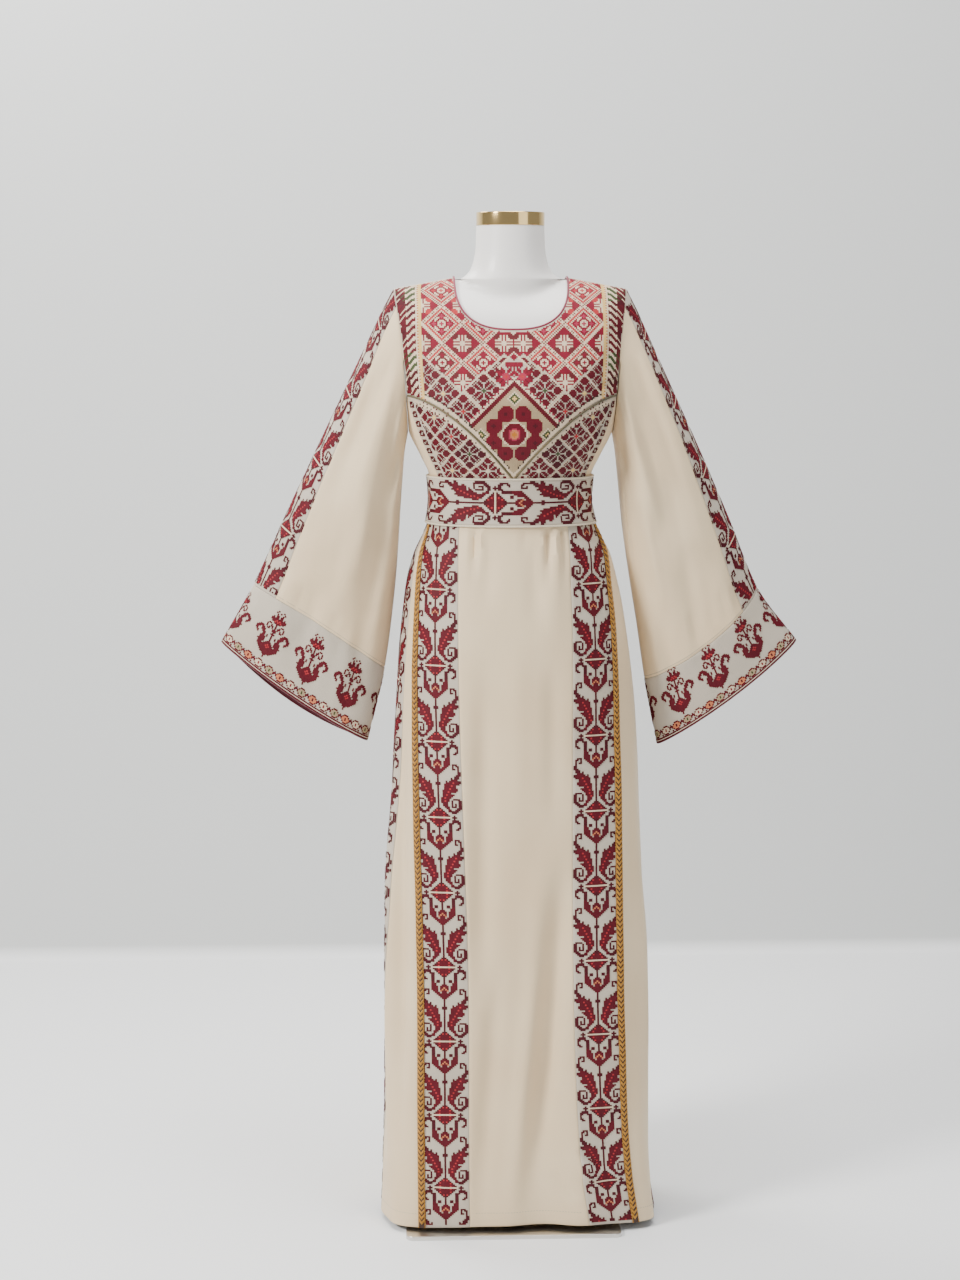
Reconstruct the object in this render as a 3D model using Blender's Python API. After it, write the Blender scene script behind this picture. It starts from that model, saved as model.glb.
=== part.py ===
# A long embroidered thobe robe with a belt, worn by a limbless dress form on a flat base plate.
# Metres, +Z up. The origin is the centre of the base plate's underside and -Y is the front.
# Left, at -X, and right, at +X, are as seen from the front, in names and tables too.

import math
from bisect import bisect_left
from functools import lru_cache

import bmesh
import bpy
import numpy as np

# Cloth walls and the clearances between pieces
PLAIN = 0.0014
EMBROIDERED = 0.0020
GAP = 0.0003
HALF_GAP = GAP / 2

# Heights of the cut, from the floor
SHOULDER_NECK_Z = 1.500
SHOULDER_END_Z = 1.483
FRONT_NECK_Z = 1.419
BACK_NECK_Z = 1.474
SEAM_MEETS_ARMHOLE_Z = 1.318
ARMPIT_Z = 1.262
BELT_TOP_Z = 1.192
WAIST_SEAM_Z = 1.155
BELT_BOTTOM_Z = 1.117
HEM_Z = 0.013

# Rows and columns of the bodice's grids, as shares from top to bottom
NECK_COLUMNS_HALF = 9
SHOULDER_COLUMNS = 3
CHEST_ROWS = (0, 0.02, 0.055, 0.11, 0.18, 0.28, 0.40, 0.54, 0.69, 0.84, 1)
LOWER_ROWS = (0, 0.20, 0.40, 0.58, 0.73, 0.87, 1)
SLEEVE_ROWS = (0, 0.05, 0.12, 0.20, 0.31, 0.43, 0.57, 0.71, 0.85, 1)
ARMHOLE_GAP = 0.0004
CUFF_SEAM_GAP = 0.0004

# Widths of the cut, from the centre line
NECK_HALF = 0.090
SHOULDER_HALF = 0.182
SHOULDER_ROUND = 0.070
BAND_WIDTH = 0.076
BRAID_WIDTH = 0.011
SLEEVE_BAND_HALF = 0.033
SLEEVE_BAND_SHIFT = 0.024
CUFF_FACING_HEIGHT = 0.045

# The V where the chest panel ends: its point, and how fast it climbs towards the armholes
V_POINT_Z = 1.190
V_HALF_WIDTH = 0.163
V_BOW = 1.6

# The body of the robe, one row for each level. widest_y is where the section is widest:
# near the hem that is well forward, because the front hangs flat between two corners.
SECTION_COLUMNS = ("z", "left", "right", "front", "back", "widest_y", "square")
SECTIONS = (
    (1.520, 0.187, 0.187, 0.062, 0.070, 0.000, 2.3),
    (1.483, 0.187, 0.187, 0.068, 0.082, 0.000, 2.35),
    (1.450, 0.187, 0.187, 0.080, 0.096, 0.000, 2.4),
    (1.400, 0.186, 0.186, 0.099, 0.108, 0.000, 2.45),
    (1.350, 0.179, 0.179, 0.120, 0.110, 0.000, 2.5),
    (1.300, 0.168, 0.168, 0.132, 0.106, 0.000, 2.5),
    (1.262, 0.160, 0.160, 0.128, 0.102, 0.000, 2.45),
    (1.220, 0.140, 0.140, 0.112, 0.095, 0.000, 2.35),
    (1.192, 0.128, 0.128, 0.102, 0.089, 0.000, 2.25),
    (1.155, 0.1255, 0.1255, 0.098, 0.087, 0.000, 2.2),
    (1.117, 0.130, 0.133, 0.101, 0.095, 0.000, 2.2),
    (1.069, 0.151, 0.158, 0.110, 0.112, 0.000, 2.3),
    (1.029, 0.162, 0.169, 0.117, 0.124, 0.000, 2.35),
    (0.981, 0.169, 0.179, 0.123, 0.132, -0.004, 2.4),
    (0.912, 0.176, 0.189, 0.128, 0.138, -0.010, 2.45),
    (0.816, 0.182, 0.197, 0.132, 0.142, -0.022, 2.5),
    (0.691, 0.188, 0.202, 0.136, 0.148, -0.040, 2.55),
    (0.524, 0.194, 0.207, 0.140, 0.156, -0.062, 2.6),
    (0.358, 0.196, 0.212, 0.144, 0.164, -0.080, 2.65),
    (0.151, 0.199, 0.220, 0.148, 0.172, -0.096, 2.7),
    (0.053, 0.202, 0.228, 0.150, 0.175, -0.102, 2.7),
    (0.000, 0.205, 0.236, 0.151, 0.176, -0.104, 2.7),
)

# Half the bodice's width: along the armhole above, and along the princess seam below
EDGE_COLUMNS = ("z", "half")
BODICE_EDGE = (
    (1.520, 0.182),
    (1.483, 0.182),
    (1.450, 0.178),
    (1.400, 0.171),
    (1.350, 0.166),
    (1.318, 0.163),
    (1.262, 0.146),
    (1.220, 0.128),
    (1.192, 0.116),
    (1.155, 0.111),
)

# Soft folds of the skirt. place and width are shares of the way round from the front centre
# (0) by the right side to the front centre again (1), depth is outward, and each fold runs
# from high down to low and fades over its last fade metres.
FOLD_COLUMNS = ("place", "width", "depth", "high", "low", "fade")
SKIRT_FOLDS = (
    (0.036, 0.016, -0.0045, 1.112, 0.930, 0.09),
    (0.062, 0.018, 0.0035, 1.112, 0.920, 0.09),
    (0.955, 0.016, -0.0040, 1.112, 0.960, 0.08),
    (0.034, 0.030, -0.0075, 0.700, -0.50, 0.40),
    (0.083, 0.026, 0.0060, 0.330, -0.50, 0.25),
    (0.195, 0.026, -0.0070, 0.420, -0.50, 0.30),
    (0.838, 0.024, -0.0095, 0.800, -0.50, 0.45),
    (0.790, 0.024, 0.0060, 0.800, -0.50, 0.45),
    (0.335, 0.034, 0.0110, 0.950, -0.50, 0.50),
    (0.405, 0.034, -0.0130, 1.000, -0.50, 0.50),
    (0.475, 0.034, 0.0120, 1.050, -0.50, 0.50),
    (0.545, 0.034, -0.0140, 1.020, -0.50, 0.45),
    (0.615, 0.034, 0.0120, 0.980, -0.50, 0.45),
    (0.685, 0.032, -0.0090, 0.900, -0.50, 0.50),
)

# Heights of the skirt's rows, as drops from the waist seam; the last is the hem
SKIRT_SEAM_COLUMNS = ("z", "band_left", "band_right", "side_band_left", "side_band_right")
SKIRT_SEAMS = (
    (1.155, 0.0860, 0.0880, 0.1780, 0.1820),
    (1.100, 0.0868, 0.0900, 0.1820, 0.2050),
    (1.050, 0.0870, 0.0915, 0.1840, 0.2280),
    (1.000, 0.0870, 0.0925, 0.1860, 0.2420),
    (0.900, 0.0862, 0.0925, 0.1910, 0.2540),
    (0.800, 0.0835, 0.0920, 0.1945, 0.2580),
    (0.700, 0.0800, 0.0920, 0.1980, 0.2585),
    (0.600, 0.0765, 0.0920, 0.2030, 0.2580),
    (0.500, 0.0730, 0.0925, 0.2085, 0.2570),
    (0.400, 0.0710, 0.0940, 0.2170, 0.2565),
    (0.300, 0.0705, 0.0970, 0.2290, 0.2565),
    (0.200, 0.0705, 0.1010, 0.2430, 0.2580),
    (0.100, 0.0700, 0.1090, 0.2560, 0.2620),
    (0.000, 0.0690, 0.1240, 0.2650, 0.2680),
)
SKIRT_DROPS = (0, 0.019, 0.040, 0.062, 0.088, 0.125, 0.180, 0.260, 0.360, 0.480, 0.620, 0.780, 0.950, 1.060)

# Each sleeve hangs away from the body as a flattened bell, seen as two edges and the depth
# of its front and back layers. along is 0 at the armhole, 1 at the cuff seam.
SLEEVE_COLUMNS = ("along", "outer_x", "outer_z", "inner_x", "inner_z", "front", "back")
SLEEVE_LEFT = (
    (0.00, 0.1825, 1.483, 0.1608, 1.262, 0.057, 0.056),
    (0.08, 0.201, 1.447, 0.1665, 1.228, 0.063, 0.060),
    (0.18, 0.223, 1.400, 0.170, 1.180, 0.067, 0.063),
    (0.34, 0.259, 1.326, 0.174, 1.118, 0.068, 0.064),
    (0.55, 0.306, 1.229, 0.179, 1.045, 0.065, 0.062),
    (0.78, 0.357, 1.122, 0.187, 0.968, 0.058, 0.057),
    (1.00, 0.405, 1.020, 0.1985, 0.887, 0.049, 0.052),
    (1.18, 0.457, 0.929, 0.227, 0.769, 0.034, 0.044),
)
SLEEVE_RIGHT = (
    (0.00, 0.1825, 1.483, 0.1608, 1.262, 0.057, 0.056),
    (0.08, 0.200, 1.447, 0.1665, 1.228, 0.062, 0.060),
    (0.18, 0.221, 1.400, 0.171, 1.180, 0.066, 0.063),
    (0.34, 0.255, 1.326, 0.177, 1.118, 0.067, 0.064),
    (0.55, 0.300, 1.229, 0.188, 1.040, 0.064, 0.062),
    (0.78, 0.349, 1.118, 0.202, 0.955, 0.057, 0.057),
    (1.00, 0.395, 1.010, 0.2155, 0.866, 0.048, 0.050),
    (1.18, 0.458, 0.927, 0.2365, 0.7605, 0.036, 0.040),
)
ARMHOLE_BLEND = 0.30

# Folds of a sleeve: place is an angle round it, 0 on the outer edge, 90 in front and 180
# under the arm.
SLEEVE_FOLD_COLUMNS = ("place", "width", "depth", "high", "low", "fade")
FOLDS_LEFT = (
    (60, 17, -0.0060, 0.02, 0.66, 0.22),
    (90, 17, 0.0055, 0.02, 0.72, 0.22),
    (121, 17, -0.0085, 0.03, 0.62, 0.20),
    (148, 15, 0.0045, 0.05, 0.55, 0.18),
    (84, 20, -0.0035, 0.60, 1.20, 0.22),
    (245, 19, -0.0070, 0.03, 0.72, 0.22),
    (283, 18, 0.0055, 0.02, 0.75, 0.22),
)
FOLDS_RIGHT = (
    (52, 16, 0.0050, 0.02, 0.62, 0.22),
    (80, 16, -0.0090, 0.02, 0.74, 0.22),
    (108, 16, 0.0070, 0.02, 0.60, 0.20),
    (137, 15, -0.0080, 0.03, 0.54, 0.18),
    (100, 21, -0.0045, 0.60, 1.20, 0.24),
    (242, 19, 0.0055, 0.03, 0.68, 0.22),
    (276, 19, -0.0075, 0.02, 0.82, 0.22),
)

# How far the cuff seam and the cuff's lower edge leave a straight cut, in shares of along
CUFF_COLUMNS = ("seam_front", "seam_back", "edge_front", "edge_back")
CUFF_LEFT = (-0.012, 0.010, 0.010, 0.038)
CUFF_RIGHT = (0.030, 0.012, 0.012, 0.014)

# The dress form inside the robe: how far in from the robe's own sections its shell lies, and
# how far out from the centre line its arm stumps reach
FORM_COLUMNS = ("z", "clearance", "stump")
FORM = (
    (1.600, 0.0040, 0.172),
    (1.483, 0.0040, 0.174),
    (1.450, 0.0040, 0.1745),
    (1.400, 0.0040, 0.170),
    (1.350, 0.0040, 0.164),
    (1.300, 0.0040, 0.1595),
    (1.262, 0.0040, 0.1550),
    (1.220, 0.0040, 0.200),
    (1.125, 0.0045, 0.200),
    (1.085, 0.0080, 0.200),
    (1.020, 0.0095, 0.200),
    (0.930, 0.0120, 0.200),
    (0.850, 0.0170, 0.200),
    (0.800, 0.0270, 0.200),
)
FORM_SHOULDER_DROP = 0.0031
FORM_BOTTOM_Z = 0.800
FORM_EDGE = 0.012
NECK_COLUMNS = ("z", "across", "deep")
NECK = (
    (1.400, 0.004, 0.004),
    (1.440, 0.030, 0.028),
    (1.460, 0.052, 0.047),
    (1.475, 0.066, 0.0545),
    (1.485, 0.074, 0.0575),
    (1.4969, 0.078, 0.0585),
    (1.5010, 0.072, 0.0582),
    (1.5100, 0.0635, 0.0570),
    (1.5240, 0.0580, 0.0555),
    (1.5450, 0.0543, 0.0540),
    (1.5790, 0.0530, 0.0530),
)
FORM_LEVELS = (
    (0.800, 0.803, 0.812, 0.870, 0.940, 1.000, 1.045, 1.080, 1.110, 1.140, 1.170, 1.200)
    + (1.235, 1.265, 1.300, 1.340, 1.375, 1.405, 1.430, 1.450, 1.465, 1.4755, 1.4808)
    + (1.486, 1.4915, 1.4950, 1.4965, 1.4971, 1.5010, 1.5100, 1.5240, 1.5450, 1.5790)
)
NECK_TOP_Z = 1.5790
CAP_HEIGHT = 0.0207
CAP_RADIUS = 0.0535
POLE_RADIUS = 0.0125
BASE_SIDE = 0.340
BASE_THICK = 0.006
BASE_CORNER = 0.012

MATERIALS = {
    "cream_cloth": ((0.72, 0.62, 0.47), 0.62, 0.0),
    "embroidered_cloth": ((0.55, 0.16, 0.14), 0.80, 0.0),
    "gold_braid": ((0.72, 0.40, 0.06), 0.45, 0.2),
    "piping": ((0.80, 0.74, 0.64), 0.60, 0.0),
    "rose_binding": ((0.42, 0.03, 0.09), 0.60, 0.0),
    "burgundy_facing": ((0.13, 0.01, 0.02), 0.55, 0.0),
    "form_shell": ((0.86, 0.83, 0.78), 0.45, 0.0),
    "brass": ((0.70, 0.48, 0.20), 0.18, 1.0),
    "steel": ((0.68, 0.68, 0.66), 0.20, 1.0),
}


def smooth(share):
    share = min(max(share, 0.0), 1.0)
    return share * share * (3 - 2 * share)


@lru_cache(maxsize=None)
def curve(rows, column):
    """The levels, values and slopes of one column of a table, lowest level first."""
    keys = [row[0] for row in rows]
    values = [row[column] for row in rows]
    if keys[0] > keys[-1]:
        keys, values = keys[::-1], values[::-1]
    rises = [(values[k + 1] - values[k]) / (keys[k + 1] - keys[k]) for k in range(len(keys) - 1)]
    slopes = [rises[0]]
    for before, after in zip(rises, rises[1:]):
        slopes.append(0.0 if before * after <= 0 else 2 * before * after / (before + after))
    return keys, values, slopes + [rises[-1]]


def read(rows, columns, name, at):
    """A table's value at a level: a cubic curve through its rows, straight beyond its ends."""
    keys, values, slopes = curve(rows, columns.index(name))
    if at <= keys[0]:
        return values[0] + slopes[0] * (at - keys[0])
    if at >= keys[-1]:
        return values[-1] + slopes[-1] * (at - keys[-1])
    i = bisect_left(keys, at) - 1
    width = keys[i + 1] - keys[i]
    t = (at - keys[i]) / width
    return (
        values[i] * (1 + 2 * t) * (1 - t) ** 2
        + values[i + 1] * t * t * (3 - 2 * t)
        + slopes[i] * width * t * (1 - t) ** 2
        - slopes[i + 1] * width * t * t * (1 - t)
    )


@lru_cache(maxsize=None)
def section(z):
    return tuple(read(SECTIONS, SECTION_COLUMNS, name, z) for name in SECTION_COLUMNS[1:])


def ridge_z(x):
    """Height of the shoulder seam above a point of the chest."""
    fall = (SHOULDER_NECK_Z - SHOULDER_END_Z) / (SHOULDER_HALF - NECK_HALF)
    return SHOULDER_NECK_Z - fall * max(abs(x) - NECK_HALF, 0.0)


def chest_depth(x, z, back, clearance=0.0, drop=0.0):
    """How far the robe stands out from the shoulder plane, or the form a clearance inside it."""
    left, right, front, rear, _, square = section(z)
    half = (right if x > 0 else left) - clearance
    depth = (rear if back else front) - clearance
    across = max(1 - (abs(x) / half) ** square, 0.0) ** (1 / square)
    rise = (ridge_z(x) - drop - z) / SHOULDER_ROUND
    round_over = math.sqrt(max(1 - (1 - min(max(rise, 0.0), 1.0)) ** 2, 0.0))
    return depth * across * round_over


def bodice_half(z):
    return read(BODICE_EDGE, EDGE_COLUMNS, "half", z)


def neckline_z(x, back):
    """The neck opening: a U in front and a shallow curve behind, ending in the shoulder seams."""
    low = BACK_NECK_Z if back else FRONT_NECK_Z
    power = 2.4 if back else 2.6
    share = min(abs(x) / NECK_HALF, 1.0)
    return low + (SHOULDER_NECK_Z - low) * (1 - (1 - share**power) ** (1 / power))


def v_line_z(x):
    left = max(1 - abs(x) / V_HALF_WIDTH, 0.0)
    return V_POINT_Z + (SEAM_MEETS_ARMHOLE_Z - V_POINT_Z) * (1 - left**V_BOW)


def on_bodice(x, z, back):
    """The point of the bodice above x and z, and its outward normal."""
    depth = chest_depth(x, z, back)
    if depth < 0.0008:
        slope = (SHOULDER_NECK_Z - SHOULDER_END_Z) / (SHOULDER_HALF - NECK_HALF)
        normal = np.array((math.copysign(slope, x) if abs(x) > NECK_HALF + 0.001 else 0.0, 0.0, 1.0))
        depth = HALF_GAP
    else:
        step = 0.0004
        across = (chest_depth(x + step, z, back) - chest_depth(x - step, z, back)) / (2 * step)
        up = (chest_depth(x, z + step, back) - chest_depth(x, z - step, back)) / (2 * step)
        normal = np.array((-across, 1.0 if back else -1.0, -up))
    return np.array((x, depth if back else -depth, z)), normal / np.linalg.norm(normal)


@lru_cache(maxsize=None)
def neckline(back, count):
    """Evenly spaced points of half the neckline, from the centre to the shoulder seam."""
    xs = [NECK_HALF * math.sin(math.pi / 2 * k / 900) for k in range(901)]
    dense = np.array([(x, chest_depth(x, neckline_z(x, back), back), neckline_z(x, back)) for x in xs])
    ways = np.concatenate(([0], np.cumsum(np.linalg.norm(np.diff(dense, axis=0), axis=1))))
    at = np.linspace(0, ways[-1], count + 1)
    return [(float(np.interp(w, ways, dense[:, 0])), float(np.interp(w, ways, dense[:, 2]))) for w in at]


def top_line(back):
    """The neckline and shoulder seam of one half, as (x, z) from the centre outwards."""
    seam = [k / SHOULDER_COLUMNS for k in range(1, SHOULDER_COLUMNS + 1)]
    xs = [NECK_HALF + (SHOULDER_HALF - NECK_HALF) * share for share in seam]
    return neckline(back, NECK_COLUMNS_HALF) + tuple_list((x, ridge_z(x)) for x in xs)


def tuple_list(pairs):
    return [tuple(pair) for pair in pairs]


def bodice_grid(top, bottom, ts, back):
    """Points and normals of a bodice piece between two lines of (x, z), mirrored."""
    points, normals = [], []
    for t in ts:
        row = []
        edge_x = top[-1][0] + (bottom[-1][0] - top[-1][0]) * t
        edge_z = top[-1][1] + (bottom[-1][1] - top[-1][1]) * t
        stray = bodice_half(edge_z) - HALF_GAP - edge_x
        for k, ((x0, z0), (x1, z1)) in enumerate(zip(top, bottom)):
            share = k / (len(top) - 1)
            x = x0 + (x1 - x0) * t + stray * share**2
            row.append((x, z0 + (z1 - z0) * t))
        row = [(-x, z) for x, z in row[:0:-1]] + row
        placed = [on_bodice(x, z, back) for x, z in row]
        points.append([p for p, _ in placed])
        normals.append([n for _, n in placed])
    return np.array(points), np.array(normals)


def side_angle(z, half):
    """The angle round the section, 90 at the side, at which it is this far from the centre."""
    left, right, *_, square = section(z)
    return math.degrees(math.asin(min(half / right, 1.0) ** (square / 2)))


def section_points(angles, z):
    """Points of the plain section: angle 0 is the front centre, 90 the right side."""
    left, right, front, back, widest, square = section(z)
    turns = np.radians(angles)
    across, ahead = np.sin(turns), np.cos(turns)
    halves = np.where(across > 0, right, left)
    depths = np.where(ahead > 0, front + widest, back - widest)
    x = np.sign(across) * halves * np.abs(across) ** (2 / square)
    y = widest - np.sign(ahead) * depths * np.abs(ahead) ** (2 / square)
    return np.stack((x, y, x * 0 + z), axis=-1)


def armhole_low_z(share):
    """The bottom of the armhole, from the front princess seam (0) to the back one (1)."""
    return SEAM_MEETS_ARMHOLE_Z - (SEAM_MEETS_ARMHOLE_Z - ARMPIT_Z) * math.sin(math.pi * share)


@lru_cache(maxsize=None)
def skirt_ring(z):
    """Dense points of the skirt's section at a level, with its folds, and the way round."""
    angles = np.linspace(0, 360, 481)
    points = section_points(angles, z)[:, :2]
    steps = np.linalg.norm(np.diff(points, axis=0), axis=1)
    share = np.concatenate(([0], np.cumsum(steps))) / steps.sum()
    along = np.gradient(points, axis=0)
    along[0] = along[-1] = (along[0] + along[-1]) / 2
    along /= np.linalg.norm(along, axis=1)[:, None]
    outward = np.column_stack((along[:, 1], -along[:, 0]))
    push = np.zeros(len(share))
    for place, width, depth, high, low, fade in SKIRT_FOLDS:
        away = np.abs(share - place)
        away = np.minimum(away, 1 - away)
        fades = smooth((high - z) / fade) * smooth((z - low) / fade)
        push += depth * fades * np.exp(-((away / width) ** 2))
    points = points + outward * push[:, None]
    steps = np.linalg.norm(np.diff(points, axis=0), axis=1)
    return points, np.concatenate(([0], np.cumsum(steps)))


def skirt_point(way, z, lift=0.0):
    """A point of the skirt, way metres round from the front centre, lifted off its surface."""
    points, ways = skirt_ring(round(z, 5))
    way %= ways[-1]
    xy = [np.interp(way, ways, points[:, k]) for k in (0, 1)]
    if lift:
        step = 0.002
        ahead = [np.interp((way + step) % ways[-1], ways, points[:, k]) for k in (0, 1)]
        behind = [np.interp((way - step) % ways[-1], ways, points[:, k]) for k in (0, 1)]
        along = np.subtract(ahead, behind)
        along /= np.linalg.norm(along)
        xy = [xy[0] + lift * along[1], xy[1] - lift * along[0]]
    return np.array((xy[0], xy[1], z))


def hem_z(way):
    """The hem hangs a little unevenly, clear of the base."""
    return HEM_Z + 0.0025 * math.sin(9.0 * way + 1.0) - 0.001


def band_start(z, side):
    """Where the centre panel ends and the front band starts, round from the front centre."""
    return read(SKIRT_SEAMS, SKIRT_SEAM_COLUMNS, "band_right" if side > 0 else "band_left", z)


def side_band_start(z, side):
    """Where the side gore ends and the side band starts, near the skirt's side."""
    return read(SKIRT_SEAMS, SKIRT_SEAM_COLUMNS, "side_band_right" if side > 0 else "side_band_left", z)


def skirt_levels():
    top = WAIST_SEAM_Z - HALF_GAP
    return [top - drop for drop in SKIRT_DROPS] + [HEM_Z]


def skirt_grid(ways_at, levels, side=1):
    """Points and normals of a skirt piece. ways_at gives a level's ways round, near to far."""
    points, normals = [], []
    step = 0.004
    for level in levels:
        ways = [side * way for way in ways_at(level)]
        share = (WAIST_SEAM_Z - level) / (WAIST_SEAM_Z - HEM_Z)
        row, row_normals = [], []
        for way in ways:
            z = level + (hem_z(way) - HEM_Z) * share
            across = skirt_point(way + step, z) - skirt_point(way - step, z)
            up = skirt_point(way, z + step) - skirt_point(way, z - step)
            normal = np.cross(across, up)
            row.append(skirt_point(way, z))
            row_normals.append(normal / np.linalg.norm(normal))
        points.append(row)
        normals.append(row_normals)
    return np.array(points), np.array(normals)


@lru_cache(maxsize=None)
def armhole(side):
    """Dense points of the armhole, each with its angle: 0 on top, 90 in front, 180 below."""
    points = []
    for k in range(41):
        z = SHOULDER_END_Z + (SEAM_MEETS_ARMHOLE_Z - SHOULDER_END_Z) * k / 40
        points.append((bodice_half(z), -chest_depth(bodice_half(z), z, False), z))
    for k in range(1, 60):
        share = k / 60
        z = armhole_low_z(share)
        edge = side_angle(z, bodice_half(z))
        points.append(tuple(section_points(edge + (180 - 2 * edge) * share, z)))
    for k in range(41):
        z = SEAM_MEETS_ARMHOLE_Z + (SHOULDER_END_Z - SEAM_MEETS_ARMHOLE_Z) * k / 40
        points.append((bodice_half(z), chest_depth(bodice_half(z), z, True), z))
    points = np.array(points)
    middle = (SHOULDER_END_Z + ARMPIT_Z) / 2
    tall = (SHOULDER_END_Z - ARMPIT_Z) / 2
    deep = np.abs(points[:, 1]).max()
    angles = np.degrees(np.arctan2(-points[:, 1] / deep, (points[:, 2] - middle) / tall)) % 360
    angles[0], angles[-1] = 0.0, 360.0
    order = np.argsort(angles)
    return angles[order], points[order] * np.array((side, 1, 1))


def sleeve_ellipse(side, angles, along):
    rows = SLEEVE_RIGHT if side > 0 else SLEEVE_LEFT
    outer_x, outer_z, inner_x, inner_z, front, back = [
        read(rows, SLEEVE_COLUMNS, name, along) for name in SLEEVE_COLUMNS[1:]
    ]
    turns = np.radians(angles)
    reach = (1 + np.cos(turns)) / 2
    depths = np.where(np.sin(turns) > 0, front, back)
    x = inner_x + (outer_x - inner_x) * reach
    z = inner_z + (outer_z - inner_z) * reach
    return np.stack((side * x, -depths * np.sin(turns), z), axis=-1)


def sleeve_points(side, angles, along):
    """Points of the sleeve's surface: an ellipse that grows out of the armhole."""
    angles = np.asarray(angles, dtype=float) % 360
    loop_angles, loop = armhole(side)
    rest = np.stack([np.interp(angles, loop_angles, loop[:, k]) for k in range(3)], axis=-1)
    grown = smooth(along / ARMHOLE_BLEND)
    points = sleeve_ellipse(side, angles, along)
    points = points + (rest - sleeve_ellipse(side, angles, 0.0)) * (1 - grown)
    push = angles * 0
    for place, width, depth, high, low, fade in FOLDS_RIGHT if side > 0 else FOLDS_LEFT:
        fades = smooth((along - high) / fade) * smooth((low - along) / fade)
        push = push + depth * fades * np.exp(-(((angles - place) / width) ** 2))
    points[..., 1] += np.where(angles < 180, -push, push)
    return points


@lru_cache(maxsize=None)
def sleeve_ring(side, along):
    """The sleeve's section: its angles and the way round to each, from the outer edge."""
    angles = np.linspace(0, 359.999, 241)
    points = sleeve_points(side, angles, along)
    steps = np.linalg.norm(np.diff(points, axis=0), axis=1)
    return angles, np.concatenate(([0], np.cumsum(steps)))


def cuff_line(side, angle, edge):
    """Where the cuff seam, or with edge its lower edge, lies along the sleeve at an angle."""
    values = dict(zip(CUFF_COLUMNS, CUFF_RIGHT if side > 0 else CUFF_LEFT))
    straight, name = (1.18, "edge") if edge else (1.0, "seam")
    swell = math.sin(math.radians(angle)) ** 2
    return straight + values[name + ("_front" if angle % 360 < 180 else "_back")] * swell


def sleeve_normal(side, angle, along):
    turn, step = 1.0, 0.006
    across = sleeve_points(side, angle + turn, along) - sleeve_points(side, angle - turn, along)
    down = sleeve_points(side, angle, along + step) - sleeve_points(side, angle, along - step)
    normal = np.cross(across, down) * -side
    return normal / np.linalg.norm(normal)


def sleeve_angles(side, along, edges, columns):
    """Angles of evenly spaced columns of the ring between two ways round it."""
    angles, ways = sleeve_ring(side, round(along, 4))
    at = edges[0] + HALF_GAP + (edges[1] - edges[0] - GAP) * np.arange(columns + 1) / columns
    return [float(a) for a in np.interp(at % ways[-1], ways, angles)]


def sleeve_edges(side, along, piece):
    angles, ways = sleeve_ring(side, round(along, 4))
    under = float(np.interp(180, angles, ways))
    # The band turns a little to the front below the shoulder
    shift = SLEEVE_BAND_SHIFT * (0.25 + 0.75 * smooth(along / 0.30))
    near, far = shift - SLEEVE_BAND_HALF, shift + SLEEVE_BAND_HALF
    return {
        "band": (near, far),
        "front": (far, under),
        "back": (under, ways[-1] + near),
    }[piece]


def sleeve_grid(side, piece, columns, levels, thickness):
    """Points and normals of the sleeve's front, back or band, from the armhole down."""
    points, normals = [], []
    for t in levels:
        row, row_normals = [], []
        angles = sleeve_angles(side, t, sleeve_edges(side, t, piece), columns)
        for angle in angles:
            along = t * (cuff_line(side, angle, False) - CUFF_SEAM_GAP)
            point = sleeve_points(side, angle, along)
            normal = sleeve_normal(side, angle, max(along, 0.02))
            if t <= 0:
                # Both faces of the wall's end stand clear of the bodice's edge
                clear = ARMHOLE_GAP + thickness * max(side * normal[0], 0.0)
                point = point + np.array((side * clear, 0, 0))
            row.append(point)
            row_normals.append(normal)
        points.append(row)
        normals.append(row_normals)
    return np.array(points), np.array(normals)


def cuff_grid(side, facing, turns, ts):
    """Points and normals of the cuff, or of the facing inside its lower edge."""
    points, normals = [], []
    for t in ts:
        row, row_normals = [], []
        for angle in turns:
            low = cuff_line(side, angle, True)
            top = low - CUFF_FACING_HEIGHT / 0.62 if facing else cuff_line(side, angle, False) + CUFF_SEAM_GAP
            along = top + (low - top) * t
            row.append(sleeve_points(side, angle, along))
            row_normals.append(sleeve_normal(side, angle, along))
        points.append(row)
        normals.append(row_normals)
    return np.array(points), np.array(normals)


def side_panel_grid(side, columns, ts):
    """Points and normals of the plain panel under the arm, between the princess seams."""
    points, normals = [], []
    for t in ts:
        row, row_normals = [], []
        for k in range(columns + 1):
            share = k / columns
            high = armhole_low_z(share) - HALF_GAP
            z = high + (WAIST_SEAM_Z + HALF_GAP - high) * t
            edge = side_angle(z, bodice_half(z) + HALF_GAP)
            angle = edge + (180 - 2 * edge) * share
            across = section_points(angle + 1, z) - section_points(angle - 1, z)
            up = section_points(angle, z + 0.001) - section_points(angle, z - 0.001)
            normal = np.cross(across, up)
            mirror = np.array((side, 1, 1))
            row.append(section_points(angle, z) * mirror)
            row_normals.append(normal / np.linalg.norm(normal) * mirror)
        points.append(row)
        normals.append(row_normals)
    return np.array(points), np.array(normals)


def material_named(name):
    made = bpy.data.materials.get(name)
    if made:
        return made
    colour, roughness, metallic = MATERIALS[name]
    made = bpy.data.materials.new(name)
    made.use_nodes = True
    shader = made.node_tree.nodes["Principled BSDF"]
    shader.inputs["Base Color"].default_value = (*colour, 1.0)
    shader.inputs["Roughness"].default_value = roughness
    shader.inputs["Metallic"].default_value = metallic
    made.diffuse_color = (*colour, 1.0)
    return made


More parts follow.
